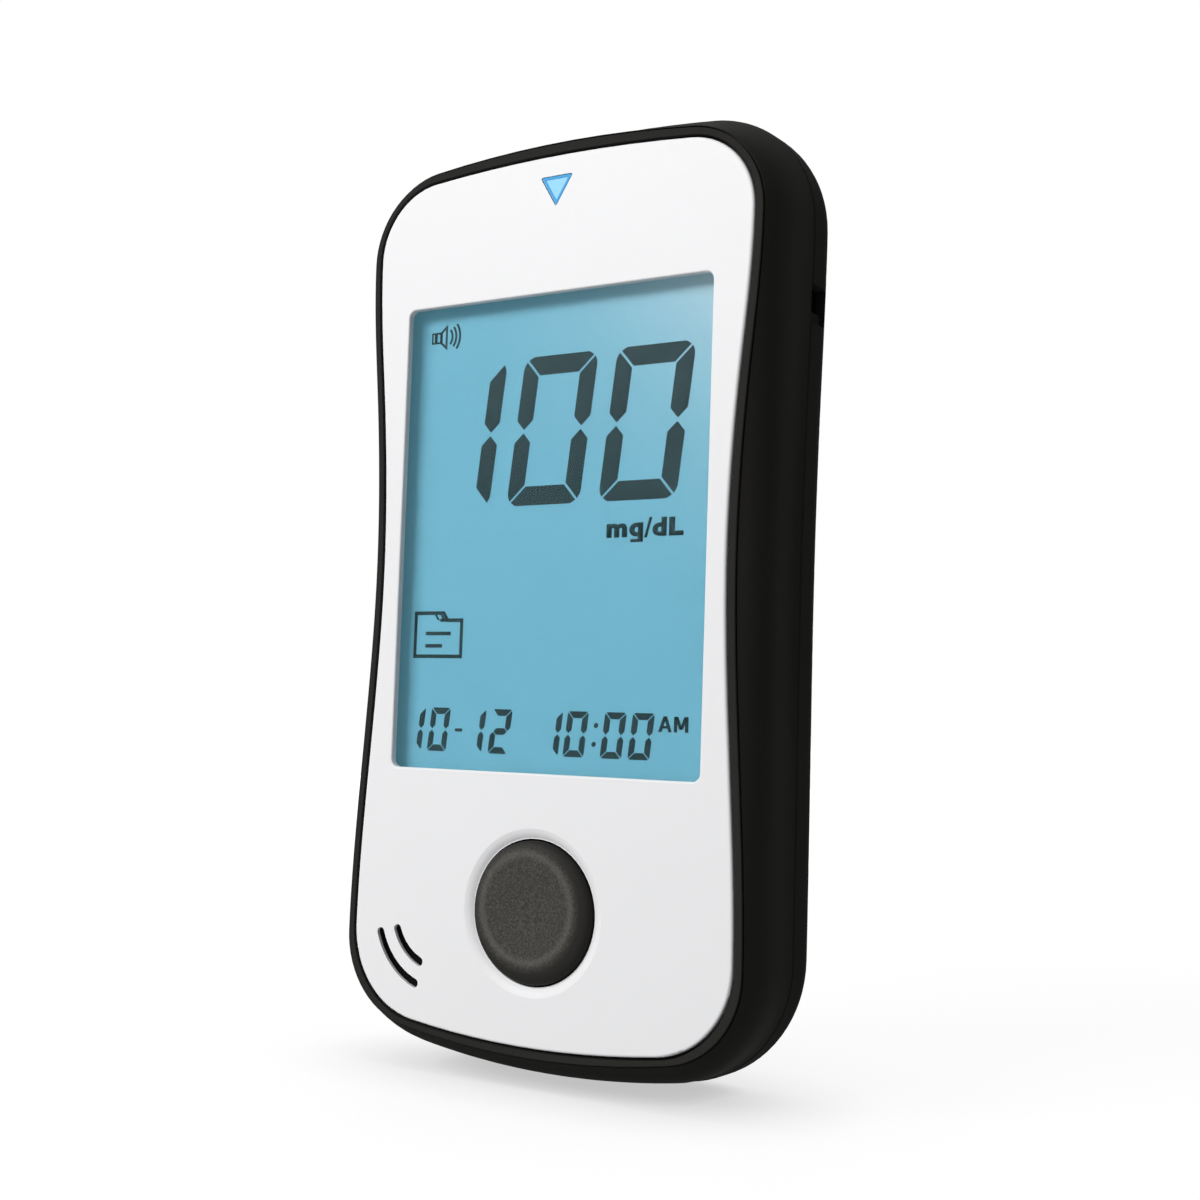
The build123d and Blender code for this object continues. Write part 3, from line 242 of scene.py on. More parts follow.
def new_group(name, inputs, outputs):
    """An empty shader group with its sockets, and its two end nodes."""
    group = bpy.data.node_groups.new(name, "ShaderNodeTree")
    for socket_name, kind, default in inputs:
        socket = group.interface.new_socket(socket_name, in_out="INPUT", socket_type=kind)
        if default is not None:
            socket.default_value = default
    for socket_name, kind in outputs:
        group.interface.new_socket(socket_name, in_out="OUTPUT", socket_type=kind)
    return group, group.nodes.new("NodeGroupInput").outputs, group.nodes.new("NodeGroupOutput").inputs


SHARED = {}     # the groups below, once they are built


def sized(group, given):
    """Inputs of a texture whose spots have the size that the group is given."""
    return {"Vector": given["Vector"], "Scale": maths(group, "DIVIDE", 1.0, given["Size"])}


def grain_group():
    """Fine spark-eroded texture of a moulding: a height for bump and a mask for gloss."""
    group, given, out = new_group(
        "Moulded grain",
        (
            ("Vector", "NodeSocketVector", None),
            ("Size", "NodeSocketFloat", 0.2 * MM),
            ("Unevenness", "NodeSocketFloat", 0.5),
        ),
        (("Height", "NodeSocketFloat"), ("Mask", "NodeSocketFloat")),
    )
    spots = sized(group, given)
    cells = add_node(group, "ShaderNodeTexVoronoi", {**spots, "Smoothness": 0.6}, feature="SMOOTH_F1")
    noise = add_node(group, "ShaderNodeTexNoise", {**spots, "Detail": 3.0}).outputs["Fac"]
    mixture = {0: given["Unevenness"], 2: cells.outputs["Distance"], 3: noise}
    group.links.new(add_node(group, "ShaderNodeMix", mixture).outputs[0], out["Height"])
    group.links.new(noise, out["Mask"])
    return group


def drift_group():
    """Slow change of tone over a large surface, as light dust and handling give."""
    group, given, out = new_group(
        "Tone drift",
        (
            ("Vector", "NodeSocketVector", None),
            ("Colour", "NodeSocketColor", (0.5, 0.5, 0.5, 1.0)),
            ("Size", "NodeSocketFloat", 12 * MM),
            ("Amount", "NodeSocketFloat", 0.1),
        ),
        (("Colour", "NodeSocketColor"), ("Mask", "NodeSocketFloat")),
    )
    noise = add_node(group, "ShaderNodeTexNoise", {**sized(group, given), "Detail": 4.0}).outputs["Fac"]
    lift = maths(group, "MULTIPLY_ADD", noise, given["Amount"], 1.0)
    gain = maths(group, "SUBTRACT", lift, maths(group, "MULTIPLY", given["Amount"], 0.5))
    scaled = add_node(group, "ShaderNodeVectorMath", {0: given["Colour"], "Scale": gain}, operation="SCALE")
    group.links.new(scaled.outputs[0], out["Colour"])
    group.links.new(noise, out["Mask"])
    return group


def speckle_group():
    """Scattered pale grains in a dark rubber."""
    group, given, out = new_group(
        "Rubber speckle",
        (
            ("Vector", "NodeSocketVector", None),
            ("Ground", "NodeSocketColor", (0.05, 0.05, 0.05, 1.0)),
            ("Grain", "NodeSocketColor", (0.1, 0.1, 0.1, 1.0)),
            ("Size", "NodeSocketFloat", 0.2 * MM),
        ),
        (("Colour", "NodeSocketColor"), ("Height", "NodeSocketFloat")),
    )
    noise = add_node(group, "ShaderNodeTexNoise", {**sized(group, given), "Detail": 2.0}).outputs["Fac"]
    mask = ramp(group, noise, (0.42, 0.0), (0.62, 1.0))
    group.links.new(blend(group, mask, given["Ground"], given["Grain"]), out["Colour"])
    group.links.new(noise, out["Height"])
    return group


class Finish:
    """One material under construction: its tree, its surface coordinates and its shader."""

    def __init__(self, name, colour, roughness, **constants):
        self.material = bpy.data.materials.new(name)
        self.material.use_nodes = True
        self.tree = self.material.node_tree
        self.tree.nodes.clear()
        self.place = add_node(self.tree, "ShaderNodeTexCoord").outputs["Object"]
        values = {"Base Color": colour, "Roughness": roughness}
        values.update({name.replace("_", " "): value for name, value in constants.items()})
        self.shader = add_node(self.tree, "ShaderNodeBsdfPrincipled", values)
        self.output = add_node(self.tree, "ShaderNodeOutputMaterial", {"Surface": self.shader.outputs[0]})

    def feed(self, socket_name, source):
        """Links a source to one socket of the shader."""
        self.tree.links.new(source, self.shader.inputs[socket_name])

    def group(self, group, **inputs):
        """Places a shared group, fed with the surface coordinates."""
        node = add_node(self.tree, "ShaderNodeGroup", node_tree=group)
        self.tree.links.new(self.place, node.inputs["Vector"])
        for name, value in inputs.items():
            node.inputs[name].default_value = value
        return node.outputs

    def bump(self, height, strength, distance):
        """Raises the surface by a height pattern."""
        inputs = {"Height": height, "Strength": strength, "Distance": distance}
        self.feed("Normal", add_node(self.tree, "ShaderNodeBump", inputs).outputs["Normal"])

    def axis(self, name):
        """One coordinate of the surface, in metres."""
        split = add_node(self.tree, "ShaderNodeSeparateXYZ", {"Vector": self.place})
        return split.outputs[name]


def moulded(name, colour, grain_size, roughness, depth, spread=0.12, **constants):
    """Plain moulded plastic with a grain of a size and depth, and a slow spread of its tone."""
    finish = Finish(name, opaque(colour), roughness, **constants)
    drift = finish.group(SHARED["drift"], Colour=opaque(colour), Size=14 * MM, Amount=spread)
    finish.feed("Base Color", drift["Colour"])
    grain = finish.group(SHARED["grain"], Size=grain_size, Unevenness=0.5)
    uneven_gloss = 0.16
    gloss = maths(finish.tree, "MULTIPLY_ADD", grain["Mask"], uneven_gloss, roughness - uneven_gloss / 2)
    finish.feed("Roughness", gloss)
    finish.bump(grain["Height"], 0.35, depth)
    return finish


def metal(name, colour, roughness):
    """Plated metal with faint, level draw marks."""
    finish = Finish(name, opaque(colour), roughness, Metallic=1.0)
    tree = finish.tree
    flattened = add_node(tree, "ShaderNodeMapping", {"Vector": finish.place, "Scale": (1.0, 1.0, 12.0)})
    pattern = {"Vector": flattened.outputs[0], "Scale": 900.0, "Detail": 4.0}
    marks = add_node(tree, "ShaderNodeTexNoise", pattern).outputs["Fac"]
    finish.feed("Roughness", ramp(tree, marks, (0.3, roughness - 0.08), (0.7, roughness + 0.1)))
    drift = finish.group(SHARED["drift"], Colour=opaque(colour), Size=3 * MM, Amount=0.16)
    finish.feed("Base Color", drift["Colour"])
    finish.bump(marks, 0.12, 0.01 * MM)
    return finish


def finish_nodes(finish, *names):
    """Puts a finish on CAD nodes."""
    for name in names:
        for place in NODES[name].material_slots:
            place.material = finish.material


def dress(piece, material):
    """Gives a new piece its only material."""
    piece.data.materials.clear()
    piece.data.materials.append(material)


# ---- modelling helpers
def select_only(piece):
    """Selects one piece and makes it the active one."""
    bpy.ops.object.select_all(action="DESELECT")
    piece.select_set(True)
    bpy.context.view_layer.objects.active = piece


def edit(piece):
    """Opens a piece in edit mode with everything selected."""
    select_only(piece)
    bpy.ops.object.mode_set(mode="EDIT")
    bpy.ops.mesh.select_all(action="SELECT")


def done():
    """Leaves edit mode."""
    bpy.ops.object.mode_set(mode="OBJECT")


def take_all(kind):
    """Selects everything in edit mode, as faces, edges or corners."""
    bpy.ops.mesh.select_mode(type=kind)
    bpy.ops.mesh.select_all(action="SELECT")


def pick(piece, kind, test):
    """Selects, in edit mode, the faces, edges or corners whose middle passes a test."""
    mesh = bmesh.from_edit_mesh(piece.data)
    bpy.ops.mesh.select_mode(type=kind)
    bpy.ops.mesh.select_all(action="DESELECT")
    if kind == "VERT":
        chosen = [v for v in mesh.verts if test(v.co)]
    elif kind == "EDGE":
        chosen = [e for e in mesh.edges if test((e.verts[0].co + e.verts[1].co) / 2)]
    else:
        chosen = [f for f in mesh.faces if test(f.calc_center_median())]
    for item in chosen:
        item.select_set(True)
    bmesh.update_edit_mesh(piece.data)


def open_up(border, each=False):
    """Cuts the middle out of the faces in edit mode, and leaves a border round all of them or round each."""
    take_all("FACE")
    bpy.ops.mesh.inset(thickness=border, use_individual=each)
    bpy.ops.mesh.delete(type="FACE")


def settle(name, scale=(1, 1, 1)):
    """Names the piece that was just added, and puts its turn and scale into its mesh."""
    piece = bpy.context.object
    piece.name = name
    piece.scale = scale
    bpy.ops.object.transform_apply(location=True, rotation=True, scale=True)
    return piece


def flat_piece(name, width, height):
    """A flat plate that faces the front, centred on the origin."""
    bpy.ops.object.select_all(action="DESELECT")
    bpy.ops.mesh.primitive_plane_add(size=1, rotation=FACE_FRONT)
    return settle(name, (width, height, 1))


def flat_round(name, corners, radius):
    """A flat plate with equal sides that faces the front, centred on the origin."""
    bpy.ops.object.select_all(action="DESELECT")
    bpy.ops.mesh.primitive_circle_add(vertices=corners, radius=radius, fill_type="NGON", rotation=FACE_FRONT)
    return settle(name)


def shift(piece, x=0.0, y=0.0, z=0.0):
    """Moves a piece's mesh."""
    piece.data.transform(Matrix.Translation((x, y, z)))


def lean(piece, slope):
    """Leans an upright mark to the right, about the height of the origin."""
    slanted = Matrix.Identity(4)
    slanted[0][2] = slope
    piece.data.transform(slanted)


def extent(piece):
    """Lowest and highest corner of the box round a piece's mesh."""
    places = [corner.co for corner in piece.data.vertices]
    low = Vector(min(place[axis] for place in places) for axis in range(3))
    high = Vector(max(place[axis] for place in places) for axis in range(3))
    return low, high


def join(pieces, name):
    """Joins pieces into the first of them."""
    bpy.ops.object.select_all(action="DESELECT")
    for piece in pieces:
        piece.select_set(True)
    bpy.context.view_layer.objects.active = pieces[0]
    if len(pieces) > 1:
        bpy.ops.object.join()
    pieces[0].name = name
    pieces[0].data.name = name
    return pieces[0]


def copy_of(piece):
    """A copy of a piece with its own mesh."""
    select_only(piece)
    bpy.ops.object.duplicate()
    return bpy.context.object


def thicken(piece, thickness):
    """Gives a flat piece its thickness towards the front, and turns its faces outwards."""
    edit(piece)
    bpy.ops.mesh.select_mode(type="FACE")
    mesh = bmesh.from_edit_mesh(piece.data)
    mesh.normal_update()
    for face in mesh.faces:
        face.select_set(face.normal.y > 0)
    bpy.ops.mesh.flip_normals()
    done()
    bpy.ops.object.modifier_add(type="SOLIDIFY")
    solid = piece.modifiers[-1]
    solid.thickness = thickness
    solid.offset = 1.0
    bpy.ops.object.modifier_apply(modifier=solid.name)
    edit(piece)
    bpy.ops.mesh.normals_make_consistent(inside=False)
    done()


def set_mark(piece, x, z, material):
    """Lays a flat mark on the display's glass, at a place measured from the display's centre."""
    thicken(piece, INK + SUNK)
    shift(piece, LENS_MIDDLE.x + x, GLASS_LOW.y + SUNK, LENS_MIDDLE.z + z)
    dress(piece, material)
    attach(piece, CASE)


# ---- seven-bar digits
BAR_PLACES = {
    "a": (0.0, 1.0),
    "b": (1.0, 0.5),
    "c": (1.0, -0.5),
    "d": (0.0, -1.0),
    "e": (-1.0, -0.5),
    "f": (-1.0, 0.5),
    "g": (0.0, 0.0),
}
LIT_BARS = {"0": "abcdef", "1": "bc", "2": "abdeg"}


def all_bars(width, height, stroke, gap, corner, steps):
    """The seven bars of an upright digit, with mitred ends and rounded outer corners."""
    piece = flat_piece("bars", width, height)
    half_width, half_height, half_stroke = width / 2, height / 2, stroke / 2
    edit(piece)
    bpy.ops.mesh.inset(thickness=stroke)
    for level in (half_stroke, -half_stroke):
        bpy.ops.mesh.select_all(action="SELECT")
        bpy.ops.mesh.bisect(plane_co=(0, 0, level), plane_no=(0, 0, 1))
    inner = half_width - stroke
    pick(piece, "FACE", lambda p: abs(p.x) < inner and half_stroke < abs(p.z) < half_height - stroke)
    bpy.ops.mesh.delete(type="FACE")
    # pointed ends that meet in the middle of each side
    pick(piece, "FACE", lambda p: abs(p.x) > inner and abs(p.z) < half_stroke / 2)
    bpy.ops.mesh.poke()
    pick(piece, "FACE", lambda p: abs(p.x) > half_width - half_stroke / 2 and abs(p.z) < half_stroke / 4)
    bpy.ops.mesh.delete(type="FACE")
    side, near = half_width - half_stroke, stroke / 50

    def inside_bar(point):
        x, z = abs(point.x), abs(point.z)
        return (abs(x - side) < near and abs(z - half_stroke) < near) or (abs(x - inner) < near and z < near)

    pick(piece, "EDGE", inside_bar)
    bpy.ops.mesh.dissolve_edges(use_verts=False)
    # fine gap round every bar
    take_all("FACE")
    bpy.ops.mesh.inset(thickness=gap / 2, use_individual=True)
    bpy.ops.mesh.select_all(action="INVERT")
    bpy.ops.mesh.delete(type="FACE")
    round_off(half_width - gap / 2, half_height - gap / 2, corner, steps)
    done()
    return piece


def round_off(half_width, half_height, radius, steps):
    """Trims the mesh in edit mode to a rectangle with round corners, by cuts that touch each round."""
    for side, end in ((1, 1), (1, -1), (-1, 1), (-1, -1)):
        centre = Vector((side * (half_width - radius), 0, end * (half_height - radius)))
        for step in range(steps):
            turn = math.radians(90) * (step + 0.5) / steps
            outward = Vector((side * math.cos(turn), 0, end * math.sin(turn)))
            bpy.ops.mesh.select_all(action="SELECT")
            bpy.ops.mesh.bisect(plane_co=centre + radius * outward, plane_no=outward, clear_outer=True)


def digit(bars, character, x, width, height, stroke):
    """One digit: a copy of the bars with the unlit ones removed."""
    reach = Vector(((width - stroke) / 2, (height - stroke) / 2))

    def lit(point):
        places = {
            bar: (Vector((point.x, point.z)) - Vector((px * reach.x, pz * reach.y))).length
            for bar, (px, pz) in BAR_PLACES.items()
        }
        return min(places, key=places.get) in LIT_BARS[character]

    piece = copy_of(bars)
    edit(piece)
    pick(piece, "FACE", lambda p: not lit(p))
    bpy.ops.mesh.delete(type="FACE")
    done()
    shift(piece, x)
    return piece


def number(name, characters, places, width, height, stroke, gap, corner):
    """A row of upright digits as one flat piece."""
    show = bpy.context.scene.meter_display
    bars = all_bars(width, height, stroke, gap, corner, show.corner_steps)
    digits = [digit(bars, c, x, width, height, stroke) for c, x in zip(characters, places)]
    bpy.data.objects.remove(bars)
    return join(digits, name)


# ---- operators: finishes
class METER_OT_shared_effects(bpy.types.Operator):
    """Builds the node groups that several finishes use"""

    bl_idname = "meter.shared_effects"
    bl_label = "Shared effects"

    def execute(self, context):
        SHARED["grain"] = grain_group()
        SHARED["drift"] = drift_group()
        SHARED["speckle"] = speckle_group()
        return {"FINISHED"}


class METER_OT_case_finish(bpy.types.Operator):
    """Finishes the two housings, the battery cover and the ejector slider in matt black"""

    bl_idname = "meter.case_finish"
    bl_label = "Case"

    def execute(self, context):
        finish = moulded(
            "case_black", context.scene.meter_colours.case, grain_size=0.2 * MM,
            roughness=0.6, depth=0.035 * MM, spread=0.3, Specular_IOR_Level=0.003,
        )
        finish_nodes(finish, "front_housing", "back_housing", "battery_cover", "ejector_slider")
        return {"FINISHED"}


class METER_OT_plate_finish(bpy.types.Operator):
    """Finishes the white face plate and the marker window in it"""

    bl_idname = "meter.plate_finish"
    bl_label = "Face plate"

    def execute(self, context):
        colours = context.scene.meter_colours
        plate = moulded(
            "plate_white", colours.plate, grain_size=0.5 * MM,
            roughness=0.42, depth=0.004 * MM, spread=0.015, Specular_IOR_Level=0.2,
        )
        finish_nodes(plate, "face_plate")
        window = moulded(
            "marker_blue", colours.marker, grain_size=0.3 * MM,
            roughness=0.35, depth=0.003 * MM, spread=0.05, Specular_IOR_Level=0.1,
        )
        finish_nodes(window, "indicator_window", "slot_guide")
        return {"FINISHED"}


class METER_OT_key_finish(bpy.types.Operator):
    """Finishes the round key in speckled dark rubber, with painted shade on its shoulder and a painted
    highlight on its ridge
    """

    bl_idname = "meter.key_finish"
    bl_label = "Key"

    def execute(self, context):
        colour = context.scene.meter_colours.key
        # the darkest of these colours is painted shade for the key's shoulder
        dark, ground, pale, painted_ridge_highlight = (opaque(colour, gain) for gain in (0.3, 0.8, 1.5, 3.0))
        finish = Finish("key_rubber", opaque(colour), 0.62, Specular_IOR_Level=0.1)
        tree = finish.tree
        speckle = finish.group(SHARED["speckle"], Ground=ground, Grain=pale, Size=0.22 * MM)
        # centre of the painted shade and highlight, moved up and left so that the key's lower right is
        # shaded more
        centre = middle("main_button") + KEY_SHADE_SHIFT
        flat_place = {"Vector": finish.place, "Location": (-centre.x, 0, -centre.z), "Scale": (1, 0, 1)}
        radius = vector_length(tree, add_node(tree, "ShaderNodeMapping", flat_place).outputs[0])
        # painted shade: the key's shoulder turns dark between these radii
        shoulder_shade_mask = between(tree, radius, KEY_SHADE_START, KEY_SHADE_END, curve="SMOOTHSTEP")
        # painted highlight: a pale ring along the key's ridge
        from_ridge = maths(tree, "ABSOLUTE", maths(tree, "SUBTRACT", radius, KEY_RIDGE_HIGHLIGHT))
        ridge_highlight_mask = between(tree, from_ridge, 0.0, RIDGE_HIGHLIGHT_HALF, 0.35, 0.0, curve="SMOOTHSTEP")
        top = blend(tree, ridge_highlight_mask, speckle["Colour"], painted_ridge_highlight)
        finish.feed("Base Color", blend(tree, shoulder_shade_mask, top, dark))
        grain = finish.group(SHARED["grain"], Size=0.3 * MM, Unevenness=0.7)
        finish.bump(grain["Height"], 0.5, 0.02 * MM)
        finish_nodes(finish, "main_button")
        return {"FINISHED"}


class METER_OT_display_finish(bpy.types.Operator):
    """Finishes the lens, the lit display and the layers behind it"""

    bl_idname = "meter.display_finish"
    bl_label = "Display"

    def execute(self, context):
        colours = context.scene.meter_colours
        lens = Finish("lens_clear", (0.97, 0.985, 0.99, 1.0), 0.03, Transmission_Weight=1.0, IOR=1.12)
        clear = add_node(lens.tree, "ShaderNodeBsdfTransparent")
        rays = add_node(lens.tree, "ShaderNodeLightPath")
        mixed = add_node(
            lens.tree,
            "ShaderNodeMixShader",
            {0: rays.outputs["Is Shadow Ray"], 1: lens.shader.outputs[0], 2: clear.outputs[0]},
        )
        lens.tree.links.new(mixed.outputs[0], lens.output.inputs["Surface"])
        finish_nodes(lens, "display_lens")

        glow = Finish("display_blue", opaque(colours.display), 0.35, Specular_IOR_Level=0.05)
        tree = glow.tree
        # painted reflection: the ground turns lighter towards the upper right corner of the display
        across = between(tree, glow.axis("X"), GLASS_LOW.x, GLASS_HIGH.x)
        up = between(tree, glow.axis("Z"), GLASS_LOW.z, GLASS_HIGH.z)
        lift = maths(tree, "MULTIPLY", maths(tree, "POWER", across, 3.0), maths(tree, "POWER", up, 4.0))
        ground = blend(tree, lift, opaque(colours.display), DISPLAY_GLARE)
        drift = glow.group(SHARED["drift"], Size=9 * MM, Amount=0.05)
        tree.links.new(ground, drift["Colour"].node.inputs["Colour"])
        glow.feed("Base Color", drift["Colour"])
        # the glow stands for the backlight and is also painted light that lightens the shade in the
        # display's recess
        glow.feed("Emission Color", ground)
        glow.shader.inputs["Emission Strength"].default_value = DISPLAY_GLOW
        finish_nodes(glow, "lcd_glass")

        guide = moulded("light_guide_frost", (0.7, 0.84, 0.92), 0.2 * MM, 0.6, 0.01 * MM)
        finish_nodes(guide, "backlight_panel")
        holder = moulded("holder_white", (0.78, 0.78, 0.76), 0.2 * MM, 0.5, 0.01 * MM)
        finish_nodes(holder, "lcd_holder", "ejector_arm", "strip_socket")
        soft = moulded("soft_black", (0.018, 0.018, 0.018), 0.1 * MM, 0.8, 0.02 * MM)
        finish_nodes(soft, "zebra_strip", "speaker_gasket")
        return {"FINISHED"}


class METER_OT_board_finish(bpy.types.Operator):
    """Finishes the circuit board and the components on it"""

    bl_idname = "meter.board_finish"
    bl_label = "Circuit board"

    def execute(self, context):
        green, lighter, track = (0.012, 0.12, 0.045, 1.0), (0.012, 0.135, 0.05, 1.0), (0.03, 0.2, 0.08, 1.0)
        board = Finish("board_green", green, 0.35)
        tracks = add_node(
            board.tree,
            "ShaderNodeTexBrick",
            {"Vector": board.place, "Scale": 260.0, "Mortar Size": 0.03,
             "Color1": green, "Color2": lighter, "Mortar": track},
        )
        board.feed("Base Color", tracks.outputs["Color"])
        board.bump(tracks.outputs["Fac"], 0.2, 0.03 * MM)
        finish_nodes(board, "circuit_board")

        chip = moulded("chip_black", (0.016, 0.016, 0.017), 0.08 * MM, 0.6, 0.01 * MM)
        finish_nodes(chip, "main_chip", "voice_chip", "set_switch")
        light = moulded("light_clear", (0.85, 0.85, 0.72), 0.2 * MM, 0.25, 0.005 * MM)
        finish_nodes(light, "indicator_led")
        key = moulded("set_key_red", (0.5, 0.035, 0.02), 0.15 * MM, 0.45, 0.01 * MM)
        finish_nodes(key, "set_key")
        return {"FINISHED"}


class METER_OT_metal_finish(bpy.types.Operator):
    """Finishes the screws, springs and contacts"""

    bl_idname = "meter.metal_finish"
    bl_label = "Metal"

    def execute(self, context):
        nickel = metal("nickel_plate", (0.62, 0.6, 0.57), 0.3)
        finish_nodes(nickel, "housing_screws", "board_screws", "dome_switch", "timing_crystal")
        finish_nodes(nickel, "speaker_frame", "ejector_spring")
        finish_nodes(nickel, "battery_bridge", "battery_plus", "battery_minus")
        gold = metal("gold_plate", (0.83, 0.6, 0.22), 0.25)
        finish_nodes(gold, "strip_contacts")
        return {"FINISHED"}


class METER_OT_ejector_coil(bpy.types.Operator):
    """Coil spring of the ejector, which in the meter shortens against its stop as the slider moves up; here
    a smooth-shaded copy of its CAD node, fixed to the case
    """

    bl_idname = "meter.ejector_coil"
    bl_label = "Ejector coil"

    def execute(self, context):
        node = NODES["ejector_spring"]
        coil = bpy.data.objects.new("ejector_coil", node.data.copy())
        context.scene.collection.objects.link(coil)
        edit(coil)
        bpy.ops.mesh.remove_doubles(threshold=0.001 * MM)
        done()
        bpy.ops.object.shade_smooth_by_angle(angle=math.radians(40))
        dress(coil, bpy.data.materials["nickel_plate"])
        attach(coil, CASE)
        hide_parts("ejector_spring")
        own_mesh(coil)
        return {"FINISHED"}


class METER_OT_speaker_finish(bpy.types.Operator):
    """Finishes the speaker's cloth and cone"""

    bl_idname = "meter.speaker_finish"
    bl_label = "Speaker"

    def execute(self, context):
        cloth = Finish("speaker_cloth", (0.012, 0.012, 0.012, 1.0), 0.85)
        threads = {"Vector": cloth.place, "Scale": 5200.0, "Distortion": 0.4}
        weave = add_node(cloth.tree, "ShaderNodeTexMagic", threads).outputs["Fac"]
        cloth.bump(weave, 0.6, 0.05 * MM)
        cloth.feed("Base Color", ramp(cloth.tree, weave, (0.2, 0.008), (0.9, 0.03)))
        finish_nodes(cloth, "speaker_mesh")
        cone = moulded("cone_film", (0.09, 0.09, 0.1), 0.3 * MM, 0.4, 0.01 * MM)
        finish_nodes(cone, "speaker_cone")
        return {"FINISHED"}


class METER_OT_cell_finish(bpy.types.Operator):
    """Finishes the two cells: a plain sleeve with bare metal ends"""

    bl_idname = "meter.cell_finish"
    bl_label = "Cells"

    def execute(self, context):
        for name in ("battery_left", "battery_right"):
            low, high = (Vector(corner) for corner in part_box(name))
            finish = Finish("sleeve_" + name, (0.1, 0.12, 0.16, 1.0), 0.35)
            tree, height = finish.tree, finish.axis("Z")
            above_foot = maths(tree, "GREATER_THAN", height, low.z + BARE_END)
            below_top = maths(tree, "LESS_THAN", height, high.z - BARE_END)
            covered = maths(tree, "MULTIPLY", above_foot, below_top)
            if name == "battery_right":
                band = maths(tree, "LESS_THAN", height, low.z + SLEEVE_BAND)
            else:
                band = maths(tree, "GREATER_THAN", height, high.z - SLEEVE_BAND)
            sleeve = blend(tree, band, (0.06, 0.075, 0.1, 1.0), (0.55, 0.56, 0.58, 1.0))
            finish.feed("Base Color", blend(tree, covered, (0.7, 0.7, 0.68, 1.0), sleeve))
            finish.feed("Metallic", maths(tree, "SUBTRACT", 1.0, covered))
            grain = finish.group(SHARED["grain"], Size=1.5 * MM, Unevenness=1.0)
            finish.bump(grain["Height"], 0.1, 0.01 * MM)
            finish_nodes(finish, name)
        return {"FINISHED"}


# ---- operators: display contents
def segment_finish():
    """Dark slate of the driven marks, made once."""
    if "segments_slate" not in bpy.data.materials:
        moulded(
            "segments_slate", bpy.context.scene.meter_colours.segments, grain_size=0.3 * MM,
            roughness=0.45, depth=0.002 * MM, spread=0.1, Specular_IOR_Level=0.05,
        )
    return bpy.data.materials["segments_slate"]


class METER_OT_value_digits(bpy.types.Operator):
    """Large digits of the reading"""

    bl_idname = "meter.value_digits"
    bl_label = "Reading"

    def execute(self, context):
        show = context.scene.meter_display
        height = show.value_height
        width, stroke, gap = 0.594 * height, 0.142 * height, 0.0155 * height
        corner, pitch = 0.095 * height, 0.723 * height
        places = [show.value_x - pitch * step for step in reversed(range(len(show.value)))]
        piece = number("value_digits", show.value, places, width, height, stroke, gap, corner)
        lean(piece, show.slant)
        set_mark(piece, 0.0, show.value_z, segment_finish())
        return {"FINISHED"}


class METER_OT_clock_digits(bpy.types.Operator):
    """Small digits of the date and the time, with their dash and dots"""

    bl_idname = "meter.clock_digits"
    bl_label = "Date and time"

    def execute(self, context):
        show = context.scene.meter_display
        height = show.clock_height
        width, stroke, gap = 0.555 * height, 0.168 * height, 0.022 * height
        corner = 0.085 * height
        dash = flat_piece("dash", 0.2 * height, 0.07 * height)
        shift(dash, DASH_PLACE)
        dots = []
        for level in (1.0 * MM, -1.0 * MM):
            dot = flat_round("dot", 20, 0.055 * height)
            shift(dot, DOTS_PLACE, 0.0, level)
            dots.append(dot)
        for name, characters, places, marks in (
            ("date_digits", DATE, DATE_PLACES, [dash]),
            ("time_digits", TIME, TIME_PLACES, dots),
        ):
            places = [x * MM for x in places]
            row = number(name, characters, places, width, height, stroke, gap, corner)
            row = join([row] + marks, name)
            lean(row, show.slant)
            set_mark(row, 0.0, show.clock_z, segment_finish())
        return {"FINISHED"}


def lettering(name, body, width, height, weight, steps):
    """Bold lettering as a flat mesh, fitted to a width and a height from its lower left corner.

    A negative height turns it upside down, with that corner at its upper left.
    """
    bpy.ops.object.select_all(action="DESELECT")
    bpy.ops.object.text_add(rotation=FACE_FRONT)
    text = bpy.context.object.data
    text.body = body
    text.offset = weight
    text.resolution_u = steps
    bpy.ops.object.convert(target="MESH")
    piece = settle(name)
    low, high = extent(piece)
    fitted = Matrix.Diagonal((width / (high.x - low.x), 1.0, height / (high.z - low.z), 1.0))
    piece.data.transform(fitted @ Matrix.Translation(-low))
    return piece


def strokes(name, lines, weight):
    """Flat bars joined into one piece, each from a point x, z to another, with level ends."""
    bars = []
    for x, z, end_x, end_z in lines:
        bar = flat_piece("stroke", weight, end_z - z)
        lean(bar, (end_x - x) / (end_z - z))
        shift(bar, (x + end_x) / 2, 0.0, (z + end_z) / 2)
        bars.append(bar)
    return join(bars, name)


